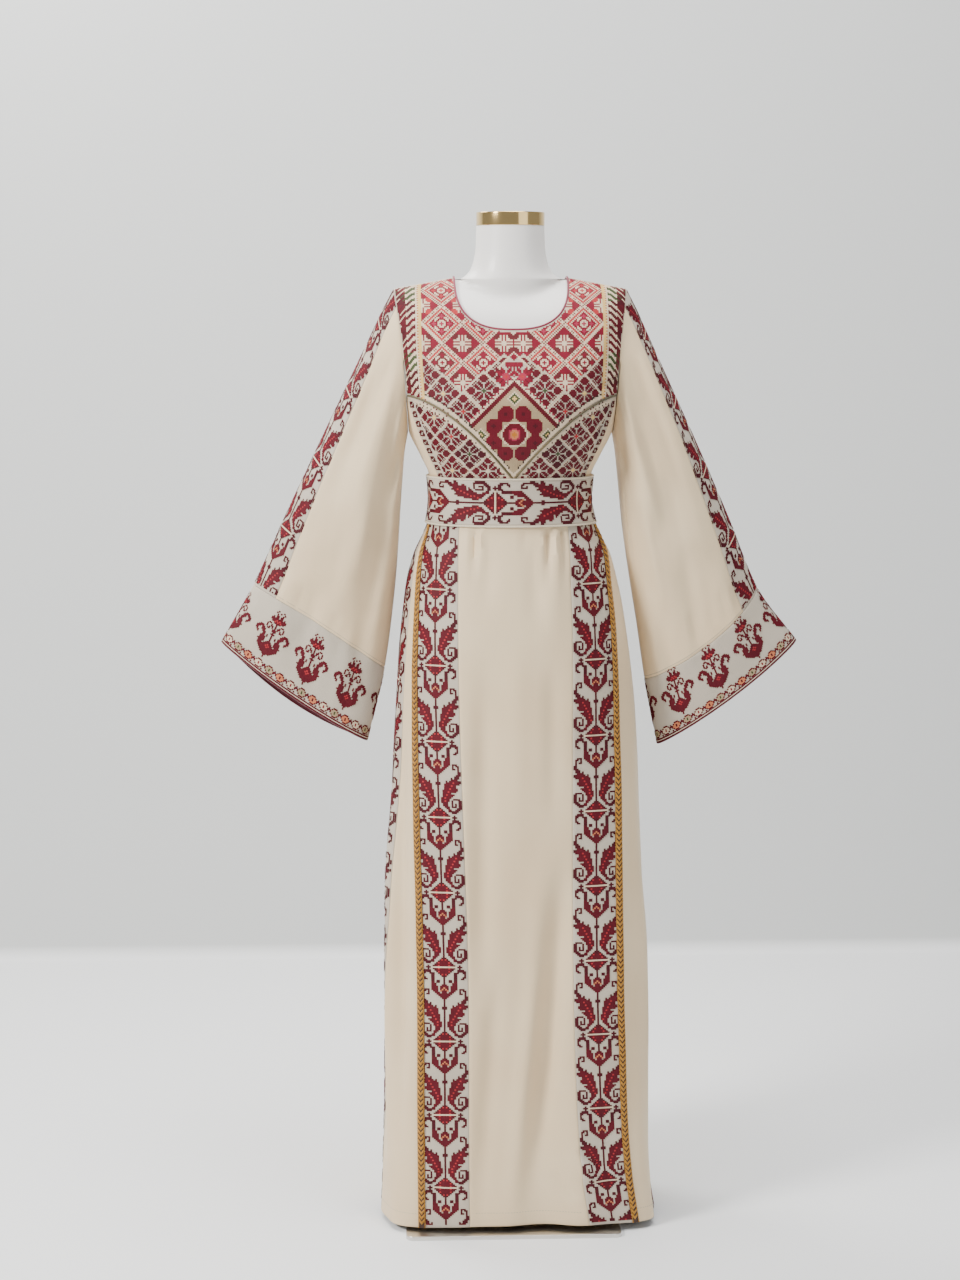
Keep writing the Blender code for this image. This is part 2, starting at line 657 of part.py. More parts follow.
def add_object(name, points, faces, material):
    mesh = bpy.data.meshes.new(name)
    mesh.from_pydata([tuple(p) for p in points], [], faces)
    shaped = bmesh.new()
    shaped.from_mesh(mesh)
    bmesh.ops.recalc_face_normals(shaped, faces=shaped.faces)
    shaped.to_mesh(mesh)
    shaped.free()
    mesh.shade_smooth()
    mesh.set_sharp_from_angle(angle=math.radians(40))
    mesh.materials.append(material_named(material))
    made = bpy.data.objects.new(name, mesh)
    bpy.context.scene.collection.objects.link(made)
    return made


def wall(name, outer, inner, material, tube=False):
    """A closed wall between two grids of points; a tube's columns join up all the way round."""
    rows, columns = outer.shape[:2]
    points = np.concatenate((outer.reshape(-1, 3), inner.reshape(-1, 3)))
    shift = rows * columns
    spans = columns if tube else columns - 1

    def at(i, j):
        return i * columns + j % columns

    faces = []
    for i in range(rows - 1):
        for j in range(spans):
            a, b, c, d = at(i, j), at(i, j + 1), at(i + 1, j + 1), at(i + 1, j)
            # The same diagonal on both faces, so that they stay the cloth's thickness apart
            if np.linalg.norm(points[a] - points[c]) < np.linalg.norm(points[b] - points[d]):
                halves = ((a, b, c), (a, c, d))
            else:
                halves = ((a, b, d), (b, c, d))
            for half in halves:
                faces.append(half)
                faces.append(tuple(k + shift for k in reversed(half)))
    for i in (0, rows - 1):
        for j in range(spans):
            faces.append((at(i, j), at(i, j + 1), at(i, j + 1) + shift, at(i, j) + shift))
    for j in () if tube else (0, columns - 1):
        for i in range(rows - 1):
            faces.append((at(i, j), at(i + 1, j), at(i + 1, j) + shift, at(i, j) + shift))
    return add_object(name, points, faces, material)


def panel(name, grid, thickness, material, lift=0.0, tube=False):
    """A wall of cloth whose outer face lies a lift outside the grid's points."""
    points, normals = grid
    outer = points + lift * normals
    return wall(name, outer, outer - thickness * normals, material, tube)


def make_bodice():
    waist = WAIST_SEAM_Z + HALF_GAP
    count = NECK_COLUMNS_HALF + SHOULDER_COLUMNS
    shares = [k / count for k in range(count + 1)]
    half_v = bodice_half(SEAM_MEETS_ARMHOLE_Z)
    v_line = [(half_v * s, v_line_z(half_v * s)) for s in shares]
    waist_line = [(bodice_half(waist) * s, waist) for s in shares]
    over = [(x, z + HALF_GAP) for x, z in v_line]
    under = [(x, z - HALF_GAP) for x, z in v_line]
    chest = bodice_grid(top_line(False), over, CHEST_ROWS, False)
    lower = bodice_grid(under, waist_line, LOWER_ROWS, False)
    split = (SHOULDER_END_Z - SEAM_MEETS_ARMHOLE_Z) / (SHOULDER_END_Z - waist)
    back_rows = [split * t for t in CHEST_ROWS] + [split + (1 - split) * t for t in LOWER_ROWS[1:]]
    back = bodice_grid(top_line(True), waist_line, back_rows, True)
    panel("chest_panel", chest, EMBROIDERED, "embroidered_cloth")
    panel("lower_bodice", lower, EMBROIDERED, "embroidered_cloth")
    panel("back_bodice", back, PLAIN, "cream_cloth")
    for side, word in ((-1, "left"), (1, "right")):
        sides = side_panel_grid(side, 6, LOWER_ROWS)
        panel(f"side_panel_{word}", sides, PLAIN, "cream_cloth")


def tube_along(name, path, radius, sides, material, closed=True):
    """A round tube along a path, each ring square to it."""
    path = np.array(path)
    along = np.roll(path, -1, axis=0) - np.roll(path, 1, axis=0)
    if not closed:
        along[0], along[-1] = path[1] - path[0], path[-1] - path[-2]
    along /= np.linalg.norm(along, axis=1)[:, None]
    points, faces = [], []
    count = len(path)
    for here, ahead in zip(path, along):
        out = np.cross(ahead, (0, 0, 1.0))
        out /= np.linalg.norm(out)
        up = np.cross(out, ahead)
        for k in range(sides):
            turn = 2 * math.pi * k / sides
            points.append(here + radius * (math.cos(turn) * out + math.sin(turn) * up))
    for i in range(count if closed else count - 1):
        for k in range(sides):
            this, then = i * sides, (i + 1) % count * sides
            faces.append((this + k, this + (k + 1) % sides, then + (k + 1) % sides, then + k))
    if not closed:
        faces.append(tuple(range(sides)))
        faces.append(tuple(range((count - 1) * sides, count * sides)))
    return add_object(name, points, faces, material)


def make_neck_binding():
    """A narrow bias binding that stands on the cut edge of the neck, all the way round."""
    radius = 0.0013
    front = neckline(False, NECK_COLUMNS_HALF)
    back = neckline(True, NECK_COLUMNS_HALF)
    loop = [(-x, z, False) for x, z in front[:0:-1]] + [(x, z, False) for x, z in front]
    loop += [(x, z, True) for x, z in back[-2::-1]] + [(-x, z, True) for x, z in back[1:-1]]
    points, normals = [], []
    for x, z, behind in loop:
        point, normal = on_bodice(x, z, behind)
        if abs(point[1]) < GAP:
            point[1] = 0.0
        points.append(point - normal * 0.0004)
        normals.append(normal)
    points, normals = np.array(points), np.array(normals)
    along = np.roll(points, -1, axis=0) - np.roll(points, 1, axis=0)
    inward = np.cross(normals, along)
    inward /= np.linalg.norm(inward, axis=1)[:, None]
    tube_along("neck_binding", points + inward * (radius + 2 * GAP), radius, 6, "rose_binding")


def belt_ring(z, lift, columns):
    """Points round the belt's level, from one end at the centre back to the other."""
    length = skirt_ring(round(z, 5))[1][-1]
    ends = 0.0010
    return [
        skirt_point(length / 2 + ends + (length - 2 * ends) * k / columns, z, lift)
        for k in range(columns + 1)
    ]


def make_belt():
    """A stiff strip round the waist whose ends meet at the centre back, with piped edges."""
    columns, rows, lift, edge = 50, 2, 0.0016, 0.0013
    low, high = BELT_BOTTOM_Z + 2 * edge + GAP, BELT_TOP_Z - 2 * edge - GAP
    levels = [high + (low - high) * k / rows for k in range(rows + 1)]
    inner = np.array([belt_ring(z, lift, columns) for z in levels])
    outer = np.array([belt_ring(z, lift + EMBROIDERED, columns) for z in levels])
    wall("belt", outer, inner, "embroidered_cloth")
    for word, z in (("bottom", BELT_BOTTOM_Z + edge), ("top", BELT_TOP_Z - edge)):
        path = belt_ring(z, lift + edge, columns)
        tube_along(f"belt_piping_{word}", path, edge, 4, "piping", closed=False)


def even(near, far, columns):
    return [near + (far - near) * k / columns for k in range(columns + 1)]


def make_skirt():
    levels = skirt_levels()
    half_braid = BRAID_WIDTH / 2

    def around(z):
        return skirt_ring(round(z, 5))[1][-1]

    def centre_ways(z):
        return even(-band_start(z, -1) + HALF_GAP, band_start(z, 1) - HALF_GAP, 10)

    panel("skirt_centre", skirt_grid(centre_ways, levels), PLAIN, "cream_cloth")
    for side, word in ((-1, "left"), (1, "right")):

        def band_ways(z, side=side):
            near = band_start(z, side)
            return even(near + HALF_GAP, near + BAND_WIDTH - half_braid, 4) + [near + BAND_WIDTH - HALF_GAP]

        def side_ways(z, side=side):
            near = band_start(z, side) + BAND_WIDTH
            far = side_band_start(z, side) - HALF_GAP
            return [near + HALF_GAP] + even(near + half_braid, far, 4)

        def side_band_ways(z, side=side):
            near = side_band_start(z, side)
            return even(near + HALF_GAP, near + BAND_WIDTH - HALF_GAP, 4)

        def braid_ways(z, side=side):
            seam = band_start(z, side) + BAND_WIDTH
            return [seam - half_braid, seam, seam + half_braid]

        panel(f"skirt_band_{word}", skirt_grid(band_ways, levels, side), EMBROIDERED, "embroidered_cloth")
        panel(f"skirt_side_{word}", skirt_grid(side_ways, levels, side), PLAIN, "cream_cloth")
        panel(f"side_band_{word}", skirt_grid(side_band_ways, levels, side), EMBROIDERED, "embroidered_cloth")
        # The braid covers the seam between the band and the side gore, from the belt down
        braid = skirt_grid(braid_ways, levels[2:], side)
        panel(f"skirt_braid_{word}", braid, 0.0012, "gold_braid", lift=0.0018)

    def back_ways(z):
        near = side_band_start(z, 1) + BAND_WIDTH + HALF_GAP
        far = around(z) - side_band_start(z, -1) - BAND_WIDTH - HALF_GAP
        return even(near, far, 26)

    panel("skirt_back", skirt_grid(back_ways, levels), PLAIN, "cream_cloth")


def make_sleeve(side, word):
    """Front and back layers, the embroidered band over the arm, and the cuff with its facing."""
    turns = []
    for piece, columns, thickness in (
        ("band", 3, EMBROIDERED),
        ("front", 11, PLAIN),
        ("back", 11, PLAIN),
    ):
        cloth = "embroidered_cloth" if piece == "band" else "cream_cloth"
        grid = sleeve_grid(side, piece, columns, SLEEVE_ROWS, thickness)
        panel(f"sleeve_{piece}_{word}", grid, thickness, cloth)
        turns += sleeve_angles(side, 1.0, sleeve_edges(side, 1.0, piece), columns)[:-1]
    cuff = cuff_grid(side, False, turns, (0, 1 / 3, 2 / 3, 1))
    facing = cuff_grid(side, True, turns, (0, 1))
    panel(f"cuff_{word}", cuff, EMBROIDERED, "embroidered_cloth", tube=True)
    panel(f"cuff_facing_{word}", facing, 0.001, "burgundy_facing", -EMBROIDERED - 0.0006, tube=True)


def form_ring(z, columns=15):
    """One level of the dress form: the robe's own section, taken in, with the neck on top."""
    clearance = read(FORM, FORM_COLUMNS, "clearance", z)
    stump = read(FORM, FORM_COLUMNS, "stump", z)
    left, right, *_ = section(z)
    neck_half = read(NECK, NECK_COLUMNS, "across", z) if z > NECK[0][0] else 0.0
    neck_deep = read(NECK, NECK_COLUMNS, "deep", z) if z > NECK[0][0] else 0.0
    fall = (SHOULDER_NECK_Z - SHOULDER_END_Z) / (SHOULDER_HALF - NECK_HALF)
    under_ridge = NECK_HALF + (SHOULDER_NECK_Z - FORM_SHOULDER_DROP - z) / fall
    if under_ridge < NECK_HALF:
        under_ridge = 0.0
    cut_off = smooth((z - 1.235) / 0.04)
    ring = []
    for back in (False, True):
        for k in range(columns):
            turn = math.sin(math.pi * (k / columns - 0.5)) * (-1 if back else 1)
            half = min((right if turn > 0 else left) - clearance, stump, under_ridge)
            half = max(half, neck_half)
            x = half * turn
            body = chest_depth(x, z, back, clearance, FORM_SHOULDER_DROP)
            body *= 1 - cut_off * (1 - math.sqrt(max(1 - abs(turn) ** 16, 0.0)))
            neck = neck_deep * math.sqrt(max(1 - (x / neck_half) ** 2, 0.0)) if neck_half else 0.0
            y = (body**8 + neck**8) ** (1 / 8)
            ring.append((x, y if back else -y, z))
    return ring


def make_form():
    rings = []
    for z in FORM_LEVELS:
        ring = np.array(form_ring(z))
        if z < FORM_BOTTOM_Z + FORM_EDGE:
            inside = FORM_EDGE**2 - (FORM_BOTTOM_Z + FORM_EDGE - z) ** 2
            rounded = FORM_EDGE - math.sqrt(max(inside, 0.0))
            ring[:, :2] *= 1 - rounded / 0.15
        rings.append(ring)
    columns = len(rings[0])
    faces = [tuple(range(columns)), tuple(range((len(rings) - 1) * columns, len(rings) * columns))]
    for i in range(len(rings) - 1):
        for k in range(columns):
            this, then = i * columns, (i + 1) * columns
            faces.append((this + k, this + (k + 1) % columns, then + (k + 1) % columns, then + k))
    add_object("form_torso", np.concatenate(rings), faces, "form_shell")


def turned(name, profile, sides, material):
    """A solid of revolution from (radius, z) pairs that run from the bottom to the top."""
    points, faces = [], []
    for radius, z in profile:
        for k in range(sides):
            turn = 2 * math.pi * k / sides
            points.append((radius * math.cos(turn), radius * math.sin(turn), z))
    for i in range(len(profile) - 1):
        for k in range(sides):
            this, then = i * sides, (i + 1) * sides
            faces.append((this + k, this + (k + 1) % sides, then + (k + 1) % sides, then + k))
    faces.append(tuple(range(sides)))
    faces.append(tuple(range((len(profile) - 1) * sides, len(profile) * sides)))
    add_object(name, points, faces, material)


def make_stand():
    low, high, edge = NECK_TOP_Z + GAP, NECK_TOP_Z + GAP + CAP_HEIGHT, 0.0012
    cap = ((CAP_RADIUS, low), (CAP_RADIUS, high - edge), (CAP_RADIUS - edge, high))
    turned("neck_cap", cap, 36, "brass")
    pole = ((POLE_RADIUS, BASE_THICK + GAP), (POLE_RADIUS, FORM_BOTTOM_Z - GAP))
    turned("form_pole", pole, 16, "steel")
    mesh = bpy.data.meshes.new("form_base")
    shaped = bmesh.new()
    bmesh.ops.create_cube(shaped, size=1.0)
    bmesh.ops.scale(shaped, vec=(BASE_SIDE, BASE_SIDE, BASE_THICK), verts=shaped.verts)
    bmesh.ops.translate(shaped, vec=(0, 0, BASE_THICK / 2), verts=shaped.verts)
    upright = [e for e in shaped.edges if abs(e.verts[0].co.z - e.verts[1].co.z) > BASE_THICK / 2]
    bmesh.ops.bevel(shaped, geom=upright, offset=BASE_CORNER, segments=4, profile=0.5, affect="EDGES")
    shaped.to_mesh(mesh)
    shaped.free()
    mesh.materials.append(material_named("steel"))
    made = bpy.data.objects.new("form_base", mesh)
    bpy.context.scene.collection.objects.link(made)


def main():
    for old in list(bpy.data.objects):
        bpy.data.objects.remove(old)
    make_bodice()
    make_neck_binding()
    make_belt()
    make_skirt()
    for side, word in ((-1, "left"), (1, "right")):
        make_sleeve(side, word)
    make_form()
    make_stand()


main()
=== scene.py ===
import math

import bmesh
import bpy
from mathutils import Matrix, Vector
import numpy as np


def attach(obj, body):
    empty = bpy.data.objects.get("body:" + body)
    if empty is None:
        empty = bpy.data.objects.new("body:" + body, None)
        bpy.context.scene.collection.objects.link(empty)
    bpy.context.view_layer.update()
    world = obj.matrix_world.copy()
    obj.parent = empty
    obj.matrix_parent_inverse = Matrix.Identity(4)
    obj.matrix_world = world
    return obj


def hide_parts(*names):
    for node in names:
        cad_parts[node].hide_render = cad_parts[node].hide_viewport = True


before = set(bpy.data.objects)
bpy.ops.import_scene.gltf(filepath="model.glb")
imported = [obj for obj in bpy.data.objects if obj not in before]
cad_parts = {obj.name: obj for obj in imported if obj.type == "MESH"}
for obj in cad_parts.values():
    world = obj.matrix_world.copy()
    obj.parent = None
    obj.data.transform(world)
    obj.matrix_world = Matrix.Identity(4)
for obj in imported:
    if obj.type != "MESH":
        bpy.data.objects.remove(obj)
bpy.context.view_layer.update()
print("frame loaded")

# heights of the cut, widths from the centre line
cut = {
    "shoulderNeckZ": 1.500, "shoulderEndZ": 1.483, "frontNeckZ": 1.419, "backNeckZ": 1.474,
    "seamMeetsArmholeZ": 1.318, "armpitZ": 1.262, "beltTopZ": 1.192, "waistZ": 1.155,
    "beltBottomZ": 1.117, "hemZ": 0.013, "neckHalf": 0.090, "shoulderHalf": 0.182,
    "shoulderRound": 0.070, "bandWidth": 0.076, "braidWidth": 0.011,
    "sleeveBandHalf": 0.033, "facingHeight": 0.045, "vPointZ": 1.190, "vHalfWidth": 0.163, "vBow": 1.6, "sleeveBandShift": 0.024,
    "halfGap": 0.00015,
}
cut["shoulderFall"] = (cut["shoulderNeckZ"] - cut["shoulderEndZ"]) / (cut["shoulderHalf"] - cut["neckHalf"])
halfGap = cut["halfGap"]

# the robe's body: z, left, right, front, back, where it is widest, squareness
bodyRows = (
    (1.520, 0.187, 0.187, 0.062, 0.070, 0.000, 2.3),
    (1.483, 0.187, 0.187, 0.068, 0.082, 0.000, 2.35),
    (1.450, 0.187, 0.187, 0.080, 0.096, 0.000, 2.4),
    (1.400, 0.186, 0.186, 0.099, 0.108, 0.000, 2.45),
    (1.350, 0.179, 0.179, 0.120, 0.110, 0.000, 2.5),
    (1.300, 0.168, 0.168, 0.132, 0.106, 0.000, 2.5),
    (1.262, 0.160, 0.160, 0.128, 0.102, 0.000, 2.45),
    (1.220, 0.140, 0.140, 0.112, 0.095, 0.000, 2.35),
    (1.192, 0.128, 0.128, 0.102, 0.089, 0.000, 2.25),
    (1.155, 0.1255, 0.1255, 0.098, 0.087, 0.000, 2.2),
    (1.117, 0.130, 0.133, 0.101, 0.095, 0.000, 2.2),
    (1.069, 0.151, 0.158, 0.110, 0.112, 0.000, 2.3),
    (1.029, 0.162, 0.169, 0.117, 0.124, 0.000, 2.35),
    (0.981, 0.169, 0.179, 0.123, 0.132, -0.004, 2.4),
    (0.912, 0.176, 0.189, 0.128, 0.138, -0.010, 2.45),
    (0.816, 0.182, 0.197, 0.132, 0.142, -0.022, 2.5),
    (0.691, 0.188, 0.202, 0.136, 0.148, -0.040, 2.55),
    (0.524, 0.194, 0.207, 0.140, 0.156, -0.062, 2.6),
    (0.358, 0.196, 0.212, 0.144, 0.164, -0.080, 2.65),
    (0.151, 0.199, 0.220, 0.148, 0.172, -0.096, 2.7),
    (0.053, 0.202, 0.228, 0.150, 0.175, -0.102, 2.7),
    (0.000, 0.205, 0.236, 0.151, 0.176, -0.104, 2.7),
)
# the skirt's seams by height, as ways round from the front centre: the front bands' start on the
# left and the right, then the side bands' start
skirtSeams = (
    (1.155, 0.0860, 0.0880, 0.1780, 0.1820), (1.100, 0.0868, 0.0900, 0.1820, 0.2050),
    (1.050, 0.0870, 0.0915, 0.1840, 0.2280), (1.000, 0.0870, 0.0925, 0.1860, 0.2420),
    (0.900, 0.0862, 0.0925, 0.1910, 0.2540), (0.800, 0.0835, 0.0920, 0.1945, 0.2580),
    (0.700, 0.0800, 0.0920, 0.1980, 0.2585), (0.600, 0.0765, 0.0920, 0.2030, 0.2580),
    (0.500, 0.0730, 0.0925, 0.2085, 0.2570), (0.400, 0.0710, 0.0940, 0.2170, 0.2565),
    (0.300, 0.0705, 0.0970, 0.2290, 0.2565), (0.200, 0.0705, 0.1010, 0.2430, 0.2580),
    (0.100, 0.0700, 0.1090, 0.2560, 0.2620), (0.000, 0.0690, 0.1240, 0.2650, 0.2680),
)
# half the bodice's width by height: along the armhole, then the princess seam
edgeRows = (
    (1.520, 0.182), (1.483, 0.182), (1.450, 0.178), (1.400, 0.171), (1.350, 0.166),
    (1.318, 0.163), (1.262, 0.146), (1.220, 0.128), (1.192, 0.116), (1.155, 0.111),
)
# the skirt's deep folds: share of the way round, width, depth, from, to, fade
skirtFolds = (
    (0.036, 0.016, -0.0045, 1.112, 0.930, 0.09),
    (0.062, 0.018, 0.0035, 1.112, 0.920, 0.09),
    (0.955, 0.016, -0.0040, 1.112, 0.960, 0.08),
    (0.034, 0.030, -0.0075, 0.700, -0.50, 0.40),
    (0.083, 0.026, 0.0060, 0.330, -0.50, 0.25),
    (0.195, 0.026, -0.0070, 0.420, -0.50, 0.30),
    (0.838, 0.024, -0.0095, 0.800, -0.50, 0.45),
    (0.790, 0.024, 0.0060, 0.800, -0.50, 0.45),
    (0.335, 0.034, 0.0110, 0.950, -0.50, 0.50),
    (0.405, 0.034, -0.0130, 1.000, -0.50, 0.50),
    (0.475, 0.034, 0.0120, 1.050, -0.50, 0.50),
    (0.545, 0.034, -0.0140, 1.020, -0.50, 0.45),
    (0.615, 0.034, 0.0120, 0.980, -0.50, 0.45),
    (0.685, 0.032, -0.0090, 0.900, -0.50, 0.50),
)
# a sleeve from armhole (0) to cuff seam (1): outer edge x z, inner edge x z, front, back
sleeveRows = {
    -1: (
        (0.00, 0.1825, 1.483, 0.1608, 1.262, 0.057, 0.056),
        (0.08, 0.201, 1.447, 0.1665, 1.228, 0.063, 0.060),
        (0.18, 0.223, 1.400, 0.170, 1.180, 0.067, 0.063),
        (0.34, 0.259, 1.326, 0.174, 1.118, 0.068, 0.064),
        (0.55, 0.306, 1.229, 0.179, 1.045, 0.065, 0.062),
        (0.78, 0.357, 1.122, 0.187, 0.968, 0.058, 0.057),
        (1.00, 0.405, 1.020, 0.1985, 0.887, 0.049, 0.052),
        (1.18, 0.457, 0.929, 0.227, 0.769, 0.034, 0.044),
    ),
    1: (
        (0.00, 0.1825, 1.483, 0.1608, 1.262, 0.057, 0.056),
        (0.08, 0.200, 1.447, 0.1665, 1.228, 0.062, 0.060),
        (0.18, 0.221, 1.400, 0.171, 1.180, 0.066, 0.063),
        (0.34, 0.255, 1.326, 0.177, 1.118, 0.067, 0.064),
        (0.55, 0.300, 1.229, 0.188, 1.040, 0.064, 0.062),
        (0.78, 0.349, 1.118, 0.202, 0.955, 0.057, 0.057),
        (1.00, 0.395, 1.010, 0.2155, 0.866, 0.048, 0.050),
        (1.18, 0.458, 0.927, 0.2365, 0.7605, 0.036, 0.040),
    ),
}
# a sleeve's folds: angle round it, width, depth, from, to, fade
sleeveFolds = {
    -1: (
        (60, 17, -0.0060, 0.02, 0.66, 0.22), (90, 17, 0.0055, 0.02, 0.72, 0.22),
        (121, 17, -0.0085, 0.03, 0.62, 0.20), (148, 15, 0.0045, 0.05, 0.55, 0.18),
        (84, 20, -0.0035, 0.60, 1.20, 0.22), (245, 19, -0.0070, 0.03, 0.72, 0.22),
        (283, 18, 0.0055, 0.02, 0.75, 0.22),
    ),
    1: (
        (52, 16, 0.0050, 0.02, 0.62, 0.22), (80, 16, -0.0090, 0.02, 0.74, 0.22),
        (108, 16, 0.0070, 0.02, 0.60, 0.20), (137, 15, -0.0080, 0.03, 0.54, 0.18),
        (100, 21, -0.0045, 0.60, 1.20, 0.24), (242, 19, 0.0055, 0.03, 0.68, 0.22),
        (276, 19, -0.0075, 0.02, 0.82, 0.22),
    ),
}
# how far cuff seam and cuff edge leave a straight cut: seam front, back, edge front, back
cuffSway = {-1: (-0.012, 0.010, 0.010, 0.038), 1: (0.030, 0.012, 0.012, 0.014)}


def smooth(share):
    share = np.clip(share, 0.0, 1.0)
    return share * share * (3 - 2 * share)


def runAlong(points):
    # the length of a line of points up to each of them
    return np.concatenate(([0], np.cumsum(np.linalg.norm(np.diff(points, axis=0), axis=-1))))


def blend(grid, i, j):
    # a grid's value between its rows and columns
    i, j = np.clip(i, 0, grid.shape[0] - 1.001), np.clip(j, 0, grid.shape[1] - 1.001)
    i0, j0 = i.astype(int), j.astype(int)
    fi, fj = i - i0, j - j0
    if grid.ndim > 2:
        fi, fj = fi[..., None], fj[..., None]
    upper = grid[i0, j0] * (1 - fj) + grid[i0, j0 + 1] * fj
    lower = grid[i0 + 1, j0] * (1 - fj) + grid[i0 + 1, j0 + 1] * fj
    return upper * (1 - fi) + lower * fi


def readTable(rows, column, at):
    # a cubic curve through the rows, straight beyond its ends
    keys = np.array([row[0] for row in rows])
    values = np.array([row[column] for row in rows])
    if keys[0] > keys[-1]:
        keys, values = keys[::-1], values[::-1]
    rises = np.diff(values) / np.diff(keys)
    both = rises[:-1] * rises[1:] > 0
    total = np.where(both, rises[:-1] + rises[1:], 1.0)
    inner = np.where(both, 2 * rises[:-1] * rises[1:] / total, 0.0)
    slopes = np.concatenate((rises[:1], inner, rises[-1:]))
    at = np.asarray(at, float)
    i = np.clip(np.searchsorted(keys, at) - 1, 0, len(keys) - 2)
    width = keys[i + 1] - keys[i]
    t = np.clip((at - keys[i]) / width, 0, 1)
    inside = (
        values[i] * (1 + 2 * t) * (1 - t) ** 2
        + values[i + 1] * t * t * (3 - 2 * t)
        + slopes[i] * width * t * (1 - t) ** 2
        - slopes[i + 1] * width * t * t * (1 - t)
    )
    below = np.minimum(at - keys[0], 0) * slopes[0]
    above = np.maximum(at - keys[-1], 0) * slopes[-1]
    return inside + below + above


def ridgeZ(x):
    return cut["shoulderNeckZ"] - cut["shoulderFall"] * np.maximum(np.abs(x) - cut["neckHalf"], 0)


def chestDepth(x, z, back=False, clearance=0.0, drop=0.0):
    # how far the robe stands out from the shoulder plane, or the form inside it
    x, z = np.broadcast_arrays(np.asarray(x, float), np.asarray(z, float))
    half = np.where(x > 0, readTable(bodyRows, 2, z), readTable(bodyRows, 1, z)) - clearance
    depth = readTable(bodyRows, 4 if back else 3, z) - clearance
    square = readTable(bodyRows, 6, z)
    across = np.maximum(1 - (np.abs(x) / half) ** square, 0) ** (1 / square)
    rise = np.clip((ridgeZ(x) - drop - z) / cut["shoulderRound"], 0, 1)
    return depth * across * np.sqrt(np.maximum(1 - (1 - rise) ** 2, 0))


def bodiceHalf(z):
    return readTable(edgeRows, 1, z)


def bodiceAt(x, z, back=False):
    depth = np.maximum(chestDepth(x, z, back), halfGap)
    x, z, depth = np.broadcast_arrays(x, z, depth)
    return np.stack((x, depth if back else -depth, z), axis=-1)


def necklineZ(x, back=False):
    low = cut["backNeckZ"] if back else cut["frontNeckZ"]
    power = 2.4 if back else 2.6
    share = np.minimum(np.abs(x) / cut["neckHalf"], 1.0)
    return low + (cut["shoulderNeckZ"] - low) * (1 - (1 - share**power) ** (1 / power))


def vLineZ(x):
    left = np.maximum(1 - np.abs(x) / cut["vHalfWidth"], 0)
    return cut["vPointZ"] + (cut["seamMeetsArmholeZ"] - cut["vPointZ"]) * (1 - left ** cut["vBow"])


def sideAngle(z, half):
    square = readTable(bodyRows, 6, z)
    return np.degrees(np.arcsin(np.minimum(half / readTable(bodyRows, 2, z), 1) ** (square / 2)))


def sectionAt(angles, z):
    # the plain section: angle 0 is the front centre, 90 the right side
    angles, z = np.broadcast_arrays(np.asarray(angles, float), np.asarray(z, float))
    turns, widest, square = np.radians(angles), readTable(bodyRows, 5, z), readTable(bodyRows, 6, z)
    across, ahead = np.sin(turns), np.cos(turns)
    halves = np.where(across > 0, readTable(bodyRows, 2, z), readTable(bodyRows, 1, z))
    depths = np.where(ahead > 0, readTable(bodyRows, 3, z) + widest, readTable(bodyRows, 4, z) - widest)
    x = np.sign(across) * halves * np.abs(across) ** (2 / square)
    y = widest - np.sign(ahead) * depths * np.abs(ahead) ** (2 / square)
    return np.stack((x, y, z), axis=-1)


def armholeLowZ(share):
    return cut["seamMeetsArmholeZ"] - (cut["seamMeetsArmholeZ"] - cut["armpitZ"]) * np.sin(np.pi * share)


def skirtRing(z):
    # dense points of the skirt at one level, folds included, and the way round to each
    points = sectionAt(np.linspace(0, 360, 481), z)[:, :2]
    steps = np.linalg.norm(np.diff(points, axis=0), axis=1)
    share = np.concatenate(([0], np.cumsum(steps))) / steps.sum()
    along = np.gradient(points, axis=0)
    along[0] = along[-1] = (along[0] + along[-1]) / 2
    along /= np.linalg.norm(along, axis=1)[:, None]
    push = np.zeros(len(share))
    for place, width, depth, high, low, fade in skirtFolds:
        away = np.abs(share - place)
        away = np.minimum(away, 1 - away)
        fades = smooth((high - z) / fade) * smooth((z - low) / fade)
        push += depth * fades * np.exp(-((away / width) ** 2))
    points = points + np.column_stack((along[:, 1], -along[:, 0])) * push[:, None]
    return points, runAlong(points)


# the skirt's surface as one table: levels from above the belt to the hem, ways round both sides
levelStep, wayStep = 0.004, 0.002
skirtLevels = np.arange(1.200, -0.004, -levelStep)
skirtWays = np.arange(-0.80, 0.8001, wayStep)
skirtTable = np.empty((len(skirtLevels), len(skirtWays), 2))
skirtRound = np.empty(len(skirtLevels))
for levelIndex, level in enumerate(skirtLevels):
    ringPoints, ringWays = skirtRing(level)
    skirtRound[levelIndex] = ringWays[-1]
    for axis in (0, 1):
        skirtTable[levelIndex, :, axis] = np.interp(skirtWays % ringWays[-1], ringWays, ringPoints[:, axis])


def byLevel(values, z):
    return np.interp(-np.asarray(z), -skirtLevels, values)


def skirtAt(way, z):
    way, z = np.broadcast_arrays(np.asarray(way, float), np.asarray(z, float))
    point = blend(skirtTable, (skirtLevels[0] - z) / levelStep, (way - skirtWays[0]) / wayStep)
    return np.concatenate((point, z[..., None]), axis=-1)


def hemZ(way):
    return cut["hemZ"] + 0.0025 * np.sin(9.0 * way + 1.0) - 0.001


def bandStart(z, side):
    return readTable(skirtSeams, 2 if side > 0 else 1, z)


def sideBandStart(z, side):
    return readTable(skirtSeams, 4 if side > 0 else 3, z)


